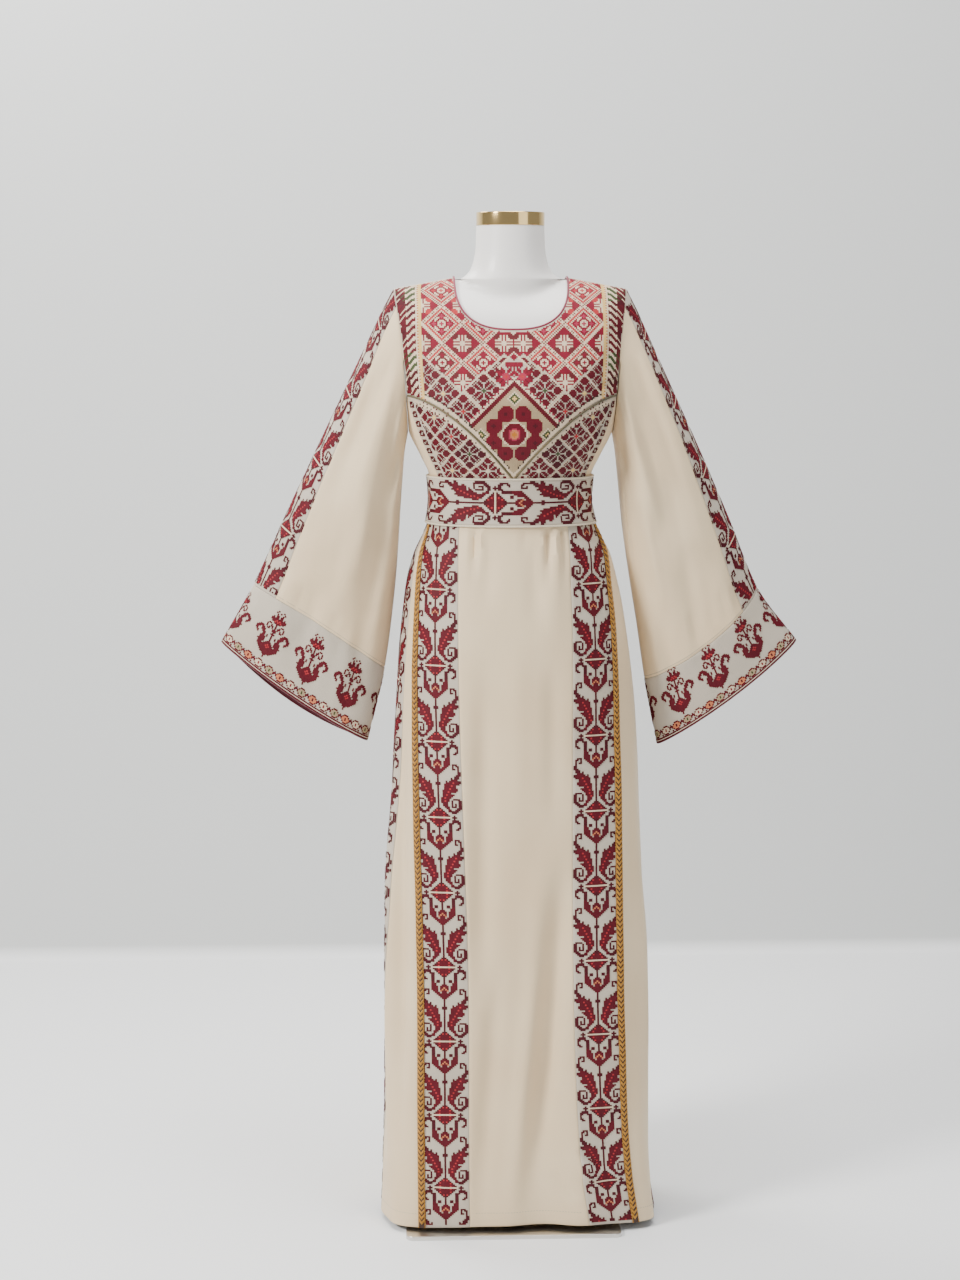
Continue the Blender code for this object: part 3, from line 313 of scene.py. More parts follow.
def armhole(side):
    # dense points of the armhole, each with its angle: 0 on top, 90 in front, 180 below
    top = np.linspace(cut["shoulderEndZ"], cut["seamMeetsArmholeZ"], 41)
    front = bodiceAt(bodiceHalf(top), top)
    front[0, 1] = 0
    back = bodiceAt(bodiceHalf(top), top, True)[::-1]
    back[-1, 1] = 0
    share = np.arange(1, 60) / 60
    z = armholeLowZ(share)
    edge = sideAngle(z, bodiceHalf(z))
    points = np.concatenate((front, sectionAt(edge + (180 - 2 * edge) * share, z), back))
    middle = (cut["shoulderEndZ"] + cut["armpitZ"]) / 2
    tall = (cut["shoulderEndZ"] - cut["armpitZ"]) / 2
    deep = np.abs(points[:, 1]).max()
    angles = np.degrees(np.arctan2(-points[:, 1] / deep, (points[:, 2] - middle) / tall)) % 360
    angles[0], angles[-1] = 0.0, 360.0
    order = np.argsort(angles, kind="stable")
    return angles[order], points[order] * np.array((side, 1, 1))


armholes = {side: armhole(side) for side in (-1, 1)}


def sleeveEllipse(side, angles, along):
    outerX, outerZ, innerX, innerZ, front, back = [
        readTable(sleeveRows[side], column, along) for column in range(1, 7)
    ]
    turns = np.radians(angles)
    reach = (1 + np.cos(turns)) / 2
    depths = np.where(np.sin(turns) > 0, front, back)
    x = innerX + (outerX - innerX) * reach
    z = innerZ + (outerZ - innerZ) * reach
    return np.stack((side * x, -depths * np.sin(turns), z), axis=-1)


def sleeveAt(side, angles, along):
    # an ellipse that grows out of the armhole, with its folds
    angles, along = np.broadcast_arrays(np.asarray(angles, float) % 360, np.asarray(along, float))
    loopAngles, loop = armholes[side]
    rest = np.stack([np.interp(angles, loopAngles, loop[:, k]) for k in range(3)], axis=-1)
    grown = smooth(along / 0.30)[..., None]
    points = sleeveEllipse(side, angles, along)
    points = points + (rest - sleeveEllipse(side, angles, 0 * along)) * (1 - grown)
    push = 0 * angles
    for place, width, depth, high, low, fade in sleeveFolds[side]:
        fades = smooth((along - high) / fade) * smooth((low - along) / fade)
        push = push + depth * fades * np.exp(-(((angles - place) / width) ** 2))
    points[..., 1] += np.where(angles < 180, -push, push)
    return points


def sleeveRing(side, along):
    angles = np.linspace(0, 359.999, 241)
    points = sleeveAt(side, angles, along)
    return angles, runAlong(points)


def bandMiddle(t):
    # the embroidered band turns a little to the front below the shoulder
    return cut["sleeveBandShift"] * (0.25 + 0.75 * smooth(t / 0.30))


def cuffLine(side, angle, edge):
    seamFront, seamBack, edgeFront, edgeBack = cuffSway[side]
    front = np.asarray(angle) % 360 < 180
    swell = np.sin(np.radians(angle)) ** 2
    if edge:
        return 1.18 + np.where(front, edgeFront, edgeBack) * swell
    return 1.0 + np.where(front, seamFront, seamBack) * swell


# soft creases, each placed one by one: from, to, width, depth
skirtCreases = (
    # pleats let go by the belt: way round and height of both ends
    (-0.060, 1.118, -0.066, 1.010, 0.0050, -0.0032), (-0.049, 1.118, -0.051, 1.030, 0.0045, 0.0022),
    (0.055, 1.118, 0.050, 1.000, 0.0050, -0.0034), (0.066, 1.118, 0.070, 0.985, 0.0050, 0.0026),
    (0.078, 1.118, 0.081, 1.030, 0.0042, -0.0026), (0.018, 1.118, 0.014, 1.060, 0.0045, -0.0012),
    (-0.172, 1.118, -0.178, 1.020, 0.0060, -0.0026), (0.178, 1.118, 0.184, 1.000, 0.0060, -0.0028),
    # the long soft valleys of the front
    (0.084, 0.640, 0.022, 0.010, 0.0200, -0.0070), (0.050, 0.520, -0.012, -0.06, 0.0160, 0.0034),
    (-0.046, 0.960, -0.050, 0.260, 0.0170, -0.0040), (-0.020, 0.480, -0.060, -0.06, 0.0160, -0.0036),
    (0.006, 0.980, 0.010, 0.560, 0.0200, 0.0018), (0.060, 0.930, 0.062, 0.620, 0.0130, -0.0018),
    # short slanting creases near the right hem
    (0.098, 0.142, 0.158, 0.094, 0.0085, -0.0026), (0.104, 0.118, 0.150, 0.064, 0.0085, 0.0018),
    (0.060, 0.100, 0.105, 0.050, 0.0090, -0.0016), (-0.100, 0.120, -0.136, 0.060, 0.0090, -0.0018),
    # both sides
    (-0.190, 0.900, -0.185, 0.030, 0.0120, -0.0040), (-0.214, 0.760, -0.224, -0.03, 0.0110, 0.0034),
    (0.196, 0.880, 0.190, 0.080, 0.0110, -0.0026), (0.226, 0.620, 0.250, -0.03, 0.0120, 0.0036),
    (0.270, 0.960, 0.276, 0.300, 0.0130, -0.0030), (-0.272, 0.960, -0.262, 0.250, 0.0130, -0.0030),
    # behind: the waist's pleats run out into the deep folds
    (0.420, 1.118, 0.432, 0.940, 0.0070, -0.0040), (0.478, 1.118, 0.486, 0.900, 0.0080, 0.0036),
    (-0.424, 1.118, -0.440, 0.930, 0.0070, -0.0040), (-0.470, 1.118, -0.480, 0.900, 0.0075, 0.0036),
    (0.500, 0.700, 0.520, 0.050, 0.0130, -0.0036), (-0.520, 0.640, -0.505, 0.040, 0.0130, -0.0034),
    (0.352, 1.110, 0.360, 0.980, 0.0070, -0.0030), (-0.350, 1.110, -0.356, 0.970, 0.0070, -0.0030),
    (0.600, 0.500, 0.586, -0.03, 0.0120, -0.0032), (0.380, 0.420, 0.366, -0.03, 0.0120, 0.0030),
)
sleeveCreases = {
    # angle round the sleeve and share along it, for both ends, then width in degrees and depth
    -1: (
        (150, 0.02, 118, 0.34, 7, -0.0030), (132, 0.01, 108, 0.20, 6, 0.0022),
        (72, 0.02, 66, 0.55, 8, -0.0022), (44, 0.10, 48, 0.80, 9, 0.0016),
        (104, 0.40, 98, 0.98, 9, 0.0026), (132, 0.35, 122, 1.16, 9, -0.0026),
        (76, 0.86, 84, 1.16, 8, -0.0020), (52, 0.90, 58, 1.14, 8, 0.0014),
        (158, 0.05, 150, 0.60, 6, -0.0024), (112, 0.93, 126, 1.15, 7, 0.0016),
        (215, 0.03, 238, 0.50, 8, -0.0028), (262, 0.10, 258, 0.90, 9, 0.0024),
        (302, 0.20, 296, 1.10, 9, -0.0020), (228, 0.50, 224, 1.12, 9, 0.0022),
        # small tucks over the cuff seam
        (46, 0.90, 49, 1.01, 2.6, -0.0011), (56, 0.92, 58, 1.02, 2.4, -0.0009), (68, 0.89, 69, 1.01, 2.8, -0.0012),
        (83, 0.93, 84, 1.03, 2.4, -0.0008), (101, 0.90, 99, 1.02, 3.0, -0.0010), (240, 0.90, 242, 1.02, 3.0, -0.0010),
        (62, 1.02, 74, 1.10, 3.2, 0.0008), (90, 1.03, 104, 1.12, 3.4, -0.0009), (290, 0.91, 288, 1.01, 2.8, -0.0010),
    ),
    1: (
        (152, 0.01, 124, 0.26, 6, -0.0034), (136, 0.01, 112, 0.18, 5, 0.0026),
        (96, 0.03, 92, 0.60, 7, -0.0024), (64, 0.04, 62, 0.62, 8, -0.0026),
        (40, 0.12, 42, 0.70, 8, 0.0014), (124, 0.22, 116, 0.92, 8, 0.0024),
        (150, 0.10, 146, 0.80, 7, -0.0028), (88, 0.66, 94, 1.15, 9, -0.0024),
        (58, 0.80, 62, 1.15, 9, 0.0018), (130, 0.80, 124, 1.16, 8, -0.0018),
        (214, 0.02, 236, 0.46, 8, -0.0030), (256, 0.08, 252, 0.84, 9, 0.0026),
        (298, 0.18, 292, 1.12, 9, -0.0022), (226, 0.52, 222, 1.12, 9, 0.0020),
        (50, 0.91, 52, 1.01, 2.6, -0.0010), (64, 0.90, 66, 1.02, 2.6, -0.0011), (79, 0.92, 80, 1.01, 2.4, -0.0008),
        (97, 0.89, 96, 1.02, 3.0, -0.0012), (114, 0.92, 112, 1.02, 2.8, -0.0009), (236, 0.90, 238, 1.01, 3.0, -0.0010),
        (70, 1.03, 60, 1.12, 3.4, 0.0008), (106, 1.02, 92, 1.10, 3.2, -0.0009), (286, 0.90, 285, 1.02, 2.8, -0.0010),
    ),
}
chestCreases = (
    # x and z of both ends; the tight cloth pulls from the armholes and gathers over the belt
    (-0.158, 1.345, -0.120, 1.330, 0.0045, -0.0014), (0.160, 1.342, 0.118, 1.322, 0.0045, -0.0018),
    (0.160, 1.322, 0.132, 1.296, 0.0040, 0.0014), (-0.156, 1.318, -0.132, 1.300, 0.0040, 0.0010),
    (-0.100, 1.246, -0.086, 1.205, 0.0050, -0.0012), (0.104, 1.240, 0.090, 1.200, 0.0050, -0.0014),
    (0.152, 1.400, 0.140, 1.350, 0.0060, -0.0010), (-0.152, 1.402, -0.142, 1.356, 0.0060, -0.0010),
)
backCreases = (
    (-0.150, 1.340, -0.060, 1.300, 0.0080, -0.0020), (0.150, 1.345, 0.064, 1.310, 0.0080, -0.0020),
    (-0.080, 1.250, -0.074, 1.195, 0.0060, -0.0018), (0.070, 1.255, 0.076, 1.195, 0.0060, -0.0018),
    (-0.020, 1.240, -0.026, 1.196, 0.0070, 0.0014), (0.030, 1.420, 0.110, 1.400, 0.0090, -0.0014),
    (-0.110, 1.415, -0.040, 1.430, 0.0090, -0.0012),
)


creaseDepth = 2.0


def creasePush(creases, a, d):
    # each crease is a soft trough or ridge with a low shoulder on one side
    push = np.zeros(np.broadcast(a, d).shape)
    for a0, d0, a1, d1, width, depth in creases:
        # a sleeve's creases are read in degrees and shares, the others in metres
        scale = 1.0 if width < 1 else 90.0
        runA, runD = a1 - a0, (d1 - d0) * scale
        long = math.hypot(runA, runD)
        offA, offD = a - a0, (d - d0) * scale
        t = (offA * runA + offD * runD) / long**2
        away = (offA * runD - offD * runA) / long / width
        if d0 < 1.1 or width > 1:
            ends = smooth(t / 0.30) * smooth((1 - t) / 0.45)
        else:
            ends = smooth((1 - t) / 0.8) * (t > -0.5)
        push += creaseDepth * depth * ends * (np.exp(-(away**2)) - 0.35 * np.exp(-((away - 1.7) ** 2)))
    return push


def unit(vectors):
    return vectors / np.maximum(np.linalg.norm(vectors, axis=-1, keepdims=True), 1e-12)


def skirtSurface(way, z, lift=0.0):
    way, z = np.broadcast_arrays(np.asarray(way, float), np.asarray(z, float))
    along = unit((skirtAt(way + 0.004, z) - skirtAt(way - 0.004, z))[..., :2])
    around = byLevel(skirtRound, z)
    nearest = (way + around / 2) % around - around / 2
    ripple = 0.0004 * np.sin(61 * nearest + 9 * z) * np.sin(37 * z + 21 * nearest)
    # the belt presses the cloth flat
    free = smooth((cut["beltBottomZ"] + 0.001 - z) / 0.014)
    push = creasePush(skirtCreases, nearest, z) * free + ripple * smooth((1.10 - z) / 0.1) + lift
    point = skirtAt(way, z)
    point[..., 0] += push * along[..., 1]
    point[..., 1] -= push * along[..., 0]
    return point


def sleeveSurface(side, angles, along):
    point = sleeveAt(side, angles, along)
    turned = np.asarray(angles, float) % 360
    ripple = 0.0004 * np.sin(turned * 0.31 + along * 17) * np.sin(along * 29 - turned * 0.12)
    push = (creasePush(sleeveCreases[side], turned, along) + ripple) * smooth(along / 0.12)
    point[..., 1] += np.where(turned < 180, -push, push)
    return point


def bodiceSurface(x, z, back=False):
    point = bodiceAt(x, z, back)
    x, z = np.broadcast_arrays(x, z)
    push = creasePush(backCreases if back else chestCreases, x, z) * smooth((ridgeZ(x) - z) / 0.05)
    point[..., 1] += push if back else -push
    return point


# the chest's own measure: metres across from the centre line, metres up from the V's point
chestLevelStep, chestAcrossStep = 0.0025, 0.001
chestLevels = np.arange(1.1500, 1.5001, chestLevelStep)
chestAcross = np.linspace(0, 0.186, 187)


def chestRunAt(z):
    # the way across the chest at one height
    steps = np.hypot(np.diff(chestAcross), np.diff(chestDepth(chestAcross, z)))
    return np.concatenate(([0], np.cumsum(steps)))


chestRun = np.array([chestRunAt(level) for level in chestLevels])
riseSteps = np.hypot(np.diff(chestLevels), np.diff(chestDepth(0.06, chestLevels)))
chestRise = np.concatenate(([0], np.cumsum(riseSteps)))
chestRise -= np.interp(cut["vPointZ"], chestLevels, chestRise)


def chestMeasure(x, z):
    across = blend(chestRun, (z - chestLevels[0]) / chestLevelStep, np.abs(x) / chestAcrossStep)
    return np.sign(x) * across, np.interp(z, chestLevels, chestRise)


# meshes
def spread(length, cell, rim=True):
    # places across a piece: close together at its cut edges, even between
    if not rim:
        return np.linspace(0, length, max(int(round(length / cell)), 1) + 1)
    inner = np.linspace(0.006, length - 0.006, max(int(round((length - 0.012) / cell)), 1) + 1)
    near = np.array((0, 0.0010, 0.0028))
    return np.concatenate((near, inner, length - near[::-1]))


def gridNormals(points, inside, tube=False):
    if tube:
        wide = np.concatenate((points[:, -3:-1], points, points[:, 1:3]), axis=1)
        across = np.gradient(wide, axis=1)[:, 2:-2]
    else:
        across = np.gradient(points, axis=1)
    normals = unit(np.cross(across, np.gradient(points, axis=0)))
    return normals * np.sign(np.sum(normals * (points - inside)) + 1e-9)


def edgeDrop(points, normals, depth=0.0009, reach=0.0030, sides=True):
    # the cloth rolls down into its seams
    drop = np.zeros(points.shape[:2])
    for rim in [points[:, :1], points[:, -1:]] * sides + [points[:1], points[-1:]]:
        away = np.linalg.norm(points - rim, axis=-1)
        drop = np.maximum(drop, np.clip(1 - away / reach, 0, 1) ** 2)
    return points - normals * (depth * drop)[..., None]


def addPiece(name, points, faces, material, uv=None):
    mesh = bpy.data.meshes.new(name)
    mesh.from_pydata(points.tolist(), [], faces.tolist() if hasattr(faces, "tolist") else faces)
    if uv is not None:
        layer = mesh.uv_layers.new(name="UVMap")
        corners = np.empty(len(mesh.loops), dtype=int)
        mesh.loops.foreach_get("vertex_index", corners)
        layer.data.foreach_set("uv", uv[corners].astype(np.float32).ravel())
    mesh.materials.append(material)
    mesh.shade_smooth()
    made = bpy.data.objects.new(name, mesh)
    bpy.context.scene.collection.objects.link(made)
    return made


def cleanMesh(piece, distance, facing=True, fill=False):
    # joins points that meet, closes open ends and turns the faces outward
    shaped = bmesh.new()
    shaped.from_mesh(piece.data)
    bmesh.ops.remove_doubles(shaped, verts=shaped.verts, dist=distance)
    if fill:
        bmesh.ops.holes_fill(shaped, edges=[e for e in shaped.edges if e.is_boundary])
    if facing:
        bmesh.ops.recalc_face_normals(shaped, faces=shaped.faces)
    shaped.to_mesh(piece.data)
    shaped.free()


def clothShell(name, points, normals, across, down, material, thickness=0.0010, tube=False):
    # a thin closed wall: the outer face, the inner face and the rims between them
    rows, columns = points.shape[:2]
    count = rows * columns
    index = np.arange(count).reshape(rows, columns)
    a, b, c, d = index[:-1, :-1], index[:-1, 1:], index[1:, 1:], index[1:, :-1]
    quads = np.stack((a, b, c, d), axis=-1).reshape(-1, 4)
    mid = (rows // 2, columns // 2)
    facing = np.cross(points[mid] - points[mid[0], mid[1] - 1], points[mid] - points[mid[0] - 1, mid[1]])
    flip = np.dot(facing, normals[mid]) < 0
    if flip:
        quads = quads[:, ::-1]
    back = quads[:, ::-1] + count
    # every rim's line, and whether its faces turn the other way
    lines = [(index[0], False), (index[-1], True)]
    if not tube:
        lines += [(index[:, 0], True), (index[:, -1], False)]
    rims = []
    for line, reverse in lines:
        rim = np.stack((line[:-1], line[:-1] + count, line[1:] + count, line[1:]), -1)
        rims.append(rim[:, ::-1] if reverse != flip else rim)
    faces = np.concatenate([quads, back] + rims)
    allPoints = np.concatenate((points.reshape(-1, 3), (points - thickness * normals).reshape(-1, 3)))
    across, down = np.broadcast_arrays(across, down)
    uv = np.stack((across.ravel(), down.ravel()), axis=-1)
    piece = addPiece(name, allPoints, faces, material, np.concatenate((uv, uv)))
    if tube:
        cleanMesh(piece, 0.00001, facing=False)
    piece.data.set_sharp_from_angle(angle=math.radians(60))
    return piece


def tubeAlong(name, path, radius, sides, material, closed=True):
    # a round cord along points, with its own UV in metres
    path = np.asarray(path, float)
    ahead = np.roll(path, -1, axis=0) - np.roll(path, 1, axis=0)
    if not closed:
        ahead[0], ahead[-1] = path[1] - path[0], path[-1] - path[-2]
    ahead = unit(ahead)
    out = unit(np.cross(ahead, np.array((0, 0, 1.0))))
    up = np.cross(out, ahead)
    rounds = list(range(len(path))) + ([0] if closed else [])
    way = runAlong(path[rounds])
    print(name, "is", round(float(way[-1]), 3), "m long")
    turn = 2 * math.pi * np.arange(sides + 1) / sides
    ring = np.cos(turn)[None, :, None] * out[rounds][:, None] + np.sin(turn)[None, :, None] * up[rounds][:, None]
    points = path[rounds][:, None] + radius * ring
    rows, columns = points.shape[:2]
    index = np.arange(rows * columns).reshape(rows, columns)
    faces = np.stack((index[:-1, :-1], index[:-1, 1:], index[1:, 1:], index[1:, :-1]), -1).reshape(-1, 4)
    uv = np.stack(np.broadcast_arrays(turn[None] * radius, way[:, None]), axis=-1).reshape(-1, 2)
    piece = addPiece(name, points.reshape(-1, 3), faces, material, uv)
    cleanMesh(piece, 0.000005, fill=not closed)
    return piece


def onGrid(cloth, a, d):
    # point, outward direction and across direction of a cloth at metres across and down
    i = np.interp(d, cloth["down"], np.arange(len(cloth["down"])))
    j = np.interp(a, cloth["across"], np.arange(len(cloth["across"])))
    across = np.gradient(cloth["points"], axis=1)
    return blend(cloth["points"], i, j), unit(blend(cloth["normals"], i, j)), unit(blend(across, i, j))


# finishes
def newGroup(name, inputs, outputs):
    group = bpy.data.node_groups.new(name, "ShaderNodeTree")
    for label, kind, value in inputs:
        socket = group.interface.new_socket(name=label, in_out="INPUT", socket_type=kind)
        if value is not None:
            socket.default_value = value
    for label, kind in outputs:
        group.interface.new_socket(name=label, in_out="OUTPUT", socket_type=kind)
    return group, group.nodes.new("NodeGroupInput"), group.nodes.new("NodeGroupOutput")


def node(tree, kind, links=(), **settings):
    made = tree.nodes.new(kind)
    for key, value in settings.items():
        if hasattr(made, key):
            setattr(made, key, value)
        else:
            made.inputs[key.replace("_", " ")].default_value = value
    for socket, source in links:
        tree.links.new(source, made.inputs[socket])
    return made


def mathNode(tree, operation, first, second=None):
    made = tree.nodes.new("ShaderNodeMath")
    made.operation = operation
    for k, value in enumerate((first, second)):
        if value is None:
            continue
        if isinstance(value, (int, float)):
            made.inputs[k].default_value = value
        else:
            tree.links.new(value, made.inputs[k])
    return made.outputs[0]


def makeWeaveGroup():
    # crossing threads from a UV in metres: the height of the threads, and the holes between them
    group, given, result = newGroup(
        "wovenThreads",
        (("Vector", "NodeSocketVector", None), ("Pitch", "NodeSocketFloat", 0.001), ("Crispness", "NodeSocketFloat", 1.0)),
        (("Height", "NodeSocketFloat"), ("Holes", "NodeSocketFloat")),
    )
    split = node(group, "ShaderNodeSeparateXYZ", ((0, given.outputs["Vector"]),))
    rate = mathNode(group, "DIVIDE", math.pi, given.outputs["Pitch"])
    waves = []
    for axis in (0, 1):
        wave = mathNode(group, "SINE", mathNode(group, "MULTIPLY", split.outputs[axis], rate))
        waves.append(mathNode(group, "ABSOLUTE", wave))
    both = mathNode(group, "MULTIPLY", waves[0], waves[1])
    height = mathNode(group, "POWER", both, mathNode(group, "MULTIPLY", given.outputs["Crispness"], 0.6))
    most = mathNode(group, "MAXIMUM", waves[0], waves[1])
    holes = mathNode(group, "POWER", mathNode(group, "SUBTRACT", 1.0, most), 2.2)
    group.links.new(height, result.inputs["Height"])
    group.links.new(holes, result.inputs["Holes"])
    return group


def makeToneGroup():
    # uneven tone over a surface: broad clouds and a fine fleck
    group, given, result = newGroup(
        "unevenTone",
        (
            ("Vector", "NodeSocketVector", None), ("Light", "NodeSocketColor", (1, 1, 1, 1)),
            ("Dark", "NodeSocketColor", (0.5, 0.5, 0.5, 1)), ("Broad", "NodeSocketFloat", 3.0),
            ("Fine", "NodeSocketFloat", 400.0), ("Fine Share", "NodeSocketFloat", 0.3),
        ),
        (("Color", "NodeSocketColor"), ("Fleck", "NodeSocketFloat")),
    )
    place = given.outputs["Vector"]
    clouds = node(group, "ShaderNodeTexNoise", (("Vector", place), ("Scale", given.outputs["Broad"])), Detail=3)
    fleck = node(group, "ShaderNodeTexNoise", (("Vector", place), ("Scale", given.outputs["Fine"])), Detail=2)
    part = mathNode(group, "MULTIPLY", mathNode(group, "SUBTRACT", fleck.outputs["Fac"], 0.5), given.outputs["Fine Share"])
    share = mathNode(group, "ADD", clouds.outputs["Fac"], part)
    steep = node(group, "ShaderNodeMapRange", (("Value", share),), From_Min=0.32, From_Max=0.68)
    ends = ((0, steep.outputs["Result"]), (6, given.outputs["Dark"]), (7, given.outputs["Light"]))
    mix = node(group, "ShaderNodeMix", ends, data_type="RGBA")
    group.links.new(mix.outputs[2], result.inputs["Color"])
    group.links.new(fleck.outputs["Fac"], result.inputs["Fleck"])
    return group


wovenThreads = makeWeaveGroup()
unevenTone = makeToneGroup()

finishes = {
    # light tone, dark tone, roughness, and what the finish is made of
    "ivoryCrepe": dict(
        light=(0.770, 0.605, 0.385), dark=(0.710, 0.535, 0.325),
        rough=0.58, weave=0.00055, depth=0.00006, sheen=0.20,
    ),
    # holes: how strongly shade is painted into the weave's holes
    "evenWeave": dict(
        light=(0.560, 0.490, 0.395), dark=(0.480, 0.412, 0.322),
        rough=0.78, weave=0.00126, depth=0.00022, sheen=0.12, holes=0.55,
    ),
    "facingSatin": dict(
        light=(0.075, 0.003, 0.010), dark=(0.045, 0.002, 0.006),
        rough=0.42, weave=0.00045, depth=0.00004, sheen=0.25,
    ),
    "roseBinding": dict(
        light=(0.260, 0.008, 0.042), dark=(0.180, 0.005, 0.026),
        rough=0.50, weave=0.00060, depth=0.00008, sheen=0.25,
    ),
    "creamCord": dict(
        light=(0.860, 0.755, 0.580), dark=(0.760, 0.640, 0.460),
        rough=0.55, twist=0.0016, depth=0.00025, sheen=0.20,
    ),
    "burgundyCord": dict(
        light=(0.130, 0.003, 0.012), dark=(0.080, 0.002, 0.007),
        rough=0.50, twist=0.0015, depth=0.00025, sheen=0.20,
    ),
    "oliveCord": dict(
        light=(0.230, 0.160, 0.060), dark=(0.030, 0.026, 0.012),
        rough=0.60, twist=0.0036, depth=0.00035, sheen=0.10,
    ),
    "braidGround": dict(
        light=(0.055, 0.020, 0.006), dark=(0.030, 0.010, 0.004),
        rough=0.62, weave=0.00080, depth=0.00010, sheen=0.15,
    ),
    "braidGold": dict(
        light=(0.900, 0.470, 0.045), dark=(0.720, 0.320, 0.020),
        rough=0.42, metal=0.15, twist=0.0010, depth=0.00010, sheen=0.15,
    ),
    "seamThread": dict(
        light=(0.800, 0.720, 0.590), dark=(0.640, 0.550, 0.420),
        rough=0.50, twist=0.0008, depth=0.00005, sheen=0.20,
    ),
    "formShell": dict(
        light=(0.860, 0.835, 0.800), dark=(0.815, 0.785, 0.745),
        rough=0.42, depth=0.00003, coat=0.10,
    ),
    "capGold": dict(
        light=(0.830, 0.600, 0.270), dark=(0.740, 0.500, 0.200),
        rough=0.12, metal=1.0, depth=0.000004,
    ),
    "standSteel": dict(
        light=(0.660, 0.640, 0.610), dark=(0.600, 0.580, 0.550),
        rough=0.30, metal=1.0, depth=0.000004,
    ),
}


def makeFinish(name, light, dark, rough, weave=0, twist=0, depth=0.0001, sheen=0, holes=0, metal=0, coat=0):
    made = bpy.data.materials.new(name)
    made.use_nodes = True
    tree = made.node_tree
    shader = tree.nodes["Principled BSDF"]
    place = node(tree, "ShaderNodeTexCoord")
    tone = node(
        tree, "ShaderNodeGroup", node_tree=unevenTone, Light=(*light, 1), Dark=(*dark, 1),
        Broad=2.0 if metal else 5.0, Fine=60.0 if metal else 700.0,
    )
    tree.links.new(place.outputs["Object"], tone.inputs["Vector"])
    colour, height = tone.outputs["Color"], tone.outputs["Fleck"]
    if weave:
        threads = node(tree, "ShaderNodeGroup", ((0, place.outputs["UV"]),), node_tree=wovenThreads)
        threads.inputs["Pitch"].default_value = weave
        height = mathNode(tree, "ADD", threads.outputs["Height"], mathNode(tree, "MULTIPLY", height, 0.5))
        if holes:
            # painted shade: the tiny square holes of the embroidery ground are darkened towards a dark brown, standing
            # in for the shade behind the cloth
            share = mathNode(tree, "MULTIPLY", threads.outputs["Holes"], holes)
            paintedHoleShade = node(tree, "ShaderNodeMix", ((0, share), (6, colour)), data_type="RGBA")
            paintedHoleShade.inputs[7].default_value = (0.20, 0.16, 0.11, 1)
            colour = paintedHoleShade.outputs[2]
    if twist:
        # plies that wind round a cord, with painted shade darkening the grooves between them
        split = node(tree, "ShaderNodeSeparateXYZ", ((0, place.outputs["UV"]),))
        wind = mathNode(tree, "ADD", split.outputs[0], split.outputs[1])
        ply = mathNode(tree, "ABSOLUTE", mathNode(tree, "SINE", mathNode(tree, "MULTIPLY", wind, math.pi / twist)))
        shade = node(tree, "ShaderNodeMix", ((0, ply), (7, colour)), data_type="RGBA")
        shade.inputs[6].default_value = (*(0.55 * c for c in dark), 1)
        colour = shade.outputs[2]
        height = mathNode(tree, "ADD", ply, mathNode(tree, "MULTIPLY", height, 0.3))
    tree.links.new(colour, shader.inputs["Base Color"])
    wear = node(tree, "ShaderNodeMapRange", (("Value", tone.outputs["Fleck"]),))
    wear.inputs["To Min"].default_value = rough * 0.88
    wear.inputs["To Max"].default_value = min(rough * 1.12, 1)
    tree.links.new(wear.outputs["Result"], shader.inputs["Roughness"])
    bump = node(tree, "ShaderNodeBump", (("Height", height),), Distance=depth, Strength=0.9)
    tree.links.new(bump.outputs["Normal"], shader.inputs["Normal"])
    shader.inputs["Metallic"].default_value = metal
    shader.inputs["Sheen Weight"].default_value = sheen
    shader.inputs["Sheen Roughness"].default_value = 0.45
    shader.inputs["Coat Weight"].default_value = coat
    made.diffuse_color = (*light, 1)
    return made


finish = {name: makeFinish(name, **values) for name, values in finishes.items()}

# embroidery threads, by the letter that the charts use
threadColours = {
    "b": (0.092, 0.0014, 0.0080), "f": (0.115, 0.0014, 0.0100), "r": (0.180, 0.0026, 0.0170),
    "d": (0.060, 0.0014, 0.0064), "c": (0.380, 0.024, 0.028), "i": (0.320, 0.022, 0.055),
    "p": (0.520, 0.170, 0.075), "y": (0.660, 0.430, 0.150), "w": (0.620, 0.490, 0.345),
    "e": (0.360, 0.265, 0.155), "k": (0.030, 0.016, 0.012), "g": (0.040, 0.056, 0.018),
    "n": (0.105, 0.010, 0.014), "o": (0.460, 0.160, 0.018),
}


def makeThreadFinish():
    made = bpy.data.materials.new("stitchThread")
    made.use_nodes = True
    tree = made.node_tree
    shader = tree.nodes["Principled BSDF"]
    place = node(tree, "ShaderNodeTexCoord")
    colour = node(tree, "ShaderNodeAttribute", attribute_name="thread")
    strand = node(tree, "ShaderNodeTexNoise", (("Vector", place.outputs["Object"]),))
    strand.inputs["Scale"].default_value = 900
    strand.inputs["Detail"].default_value = 3
    skein = node(tree, "ShaderNodeTexNoise", (("Vector", place.outputs["Object"]),))
    skein.inputs["Scale"].default_value = 45
    level = mathNode(tree, "ADD", mathNode(tree, "MULTIPLY", skein.outputs["Fac"], 0.55), mathNode(tree, "MULTIPLY", strand.outputs["Fac"], 0.70))
    vary = node(tree, "ShaderNodeHueSaturation", (("Color", colour.outputs["Color"]), ("Value", mathNode(tree, "ADD", level, 0.40))))
    tree.links.new(vary.outputs["Color"], shader.inputs["Base Color"])
    shader.inputs["Roughness"].default_value = 0.62
    shader.inputs["Specular IOR Level"].default_value = 0.25
    bump = node(tree, "ShaderNodeBump", (("Height", strand.outputs["Fac"]),))
    bump.inputs["Distance"].default_value = 0.0002
    tree.links.new(bump.outputs["Normal"], shader.inputs["Normal"])
    made.diffuse_color = (0.3, 0.02, 0.05, 1)
    return made


finish["stitchThread"] = makeThreadFinish()
print("finishes ready")


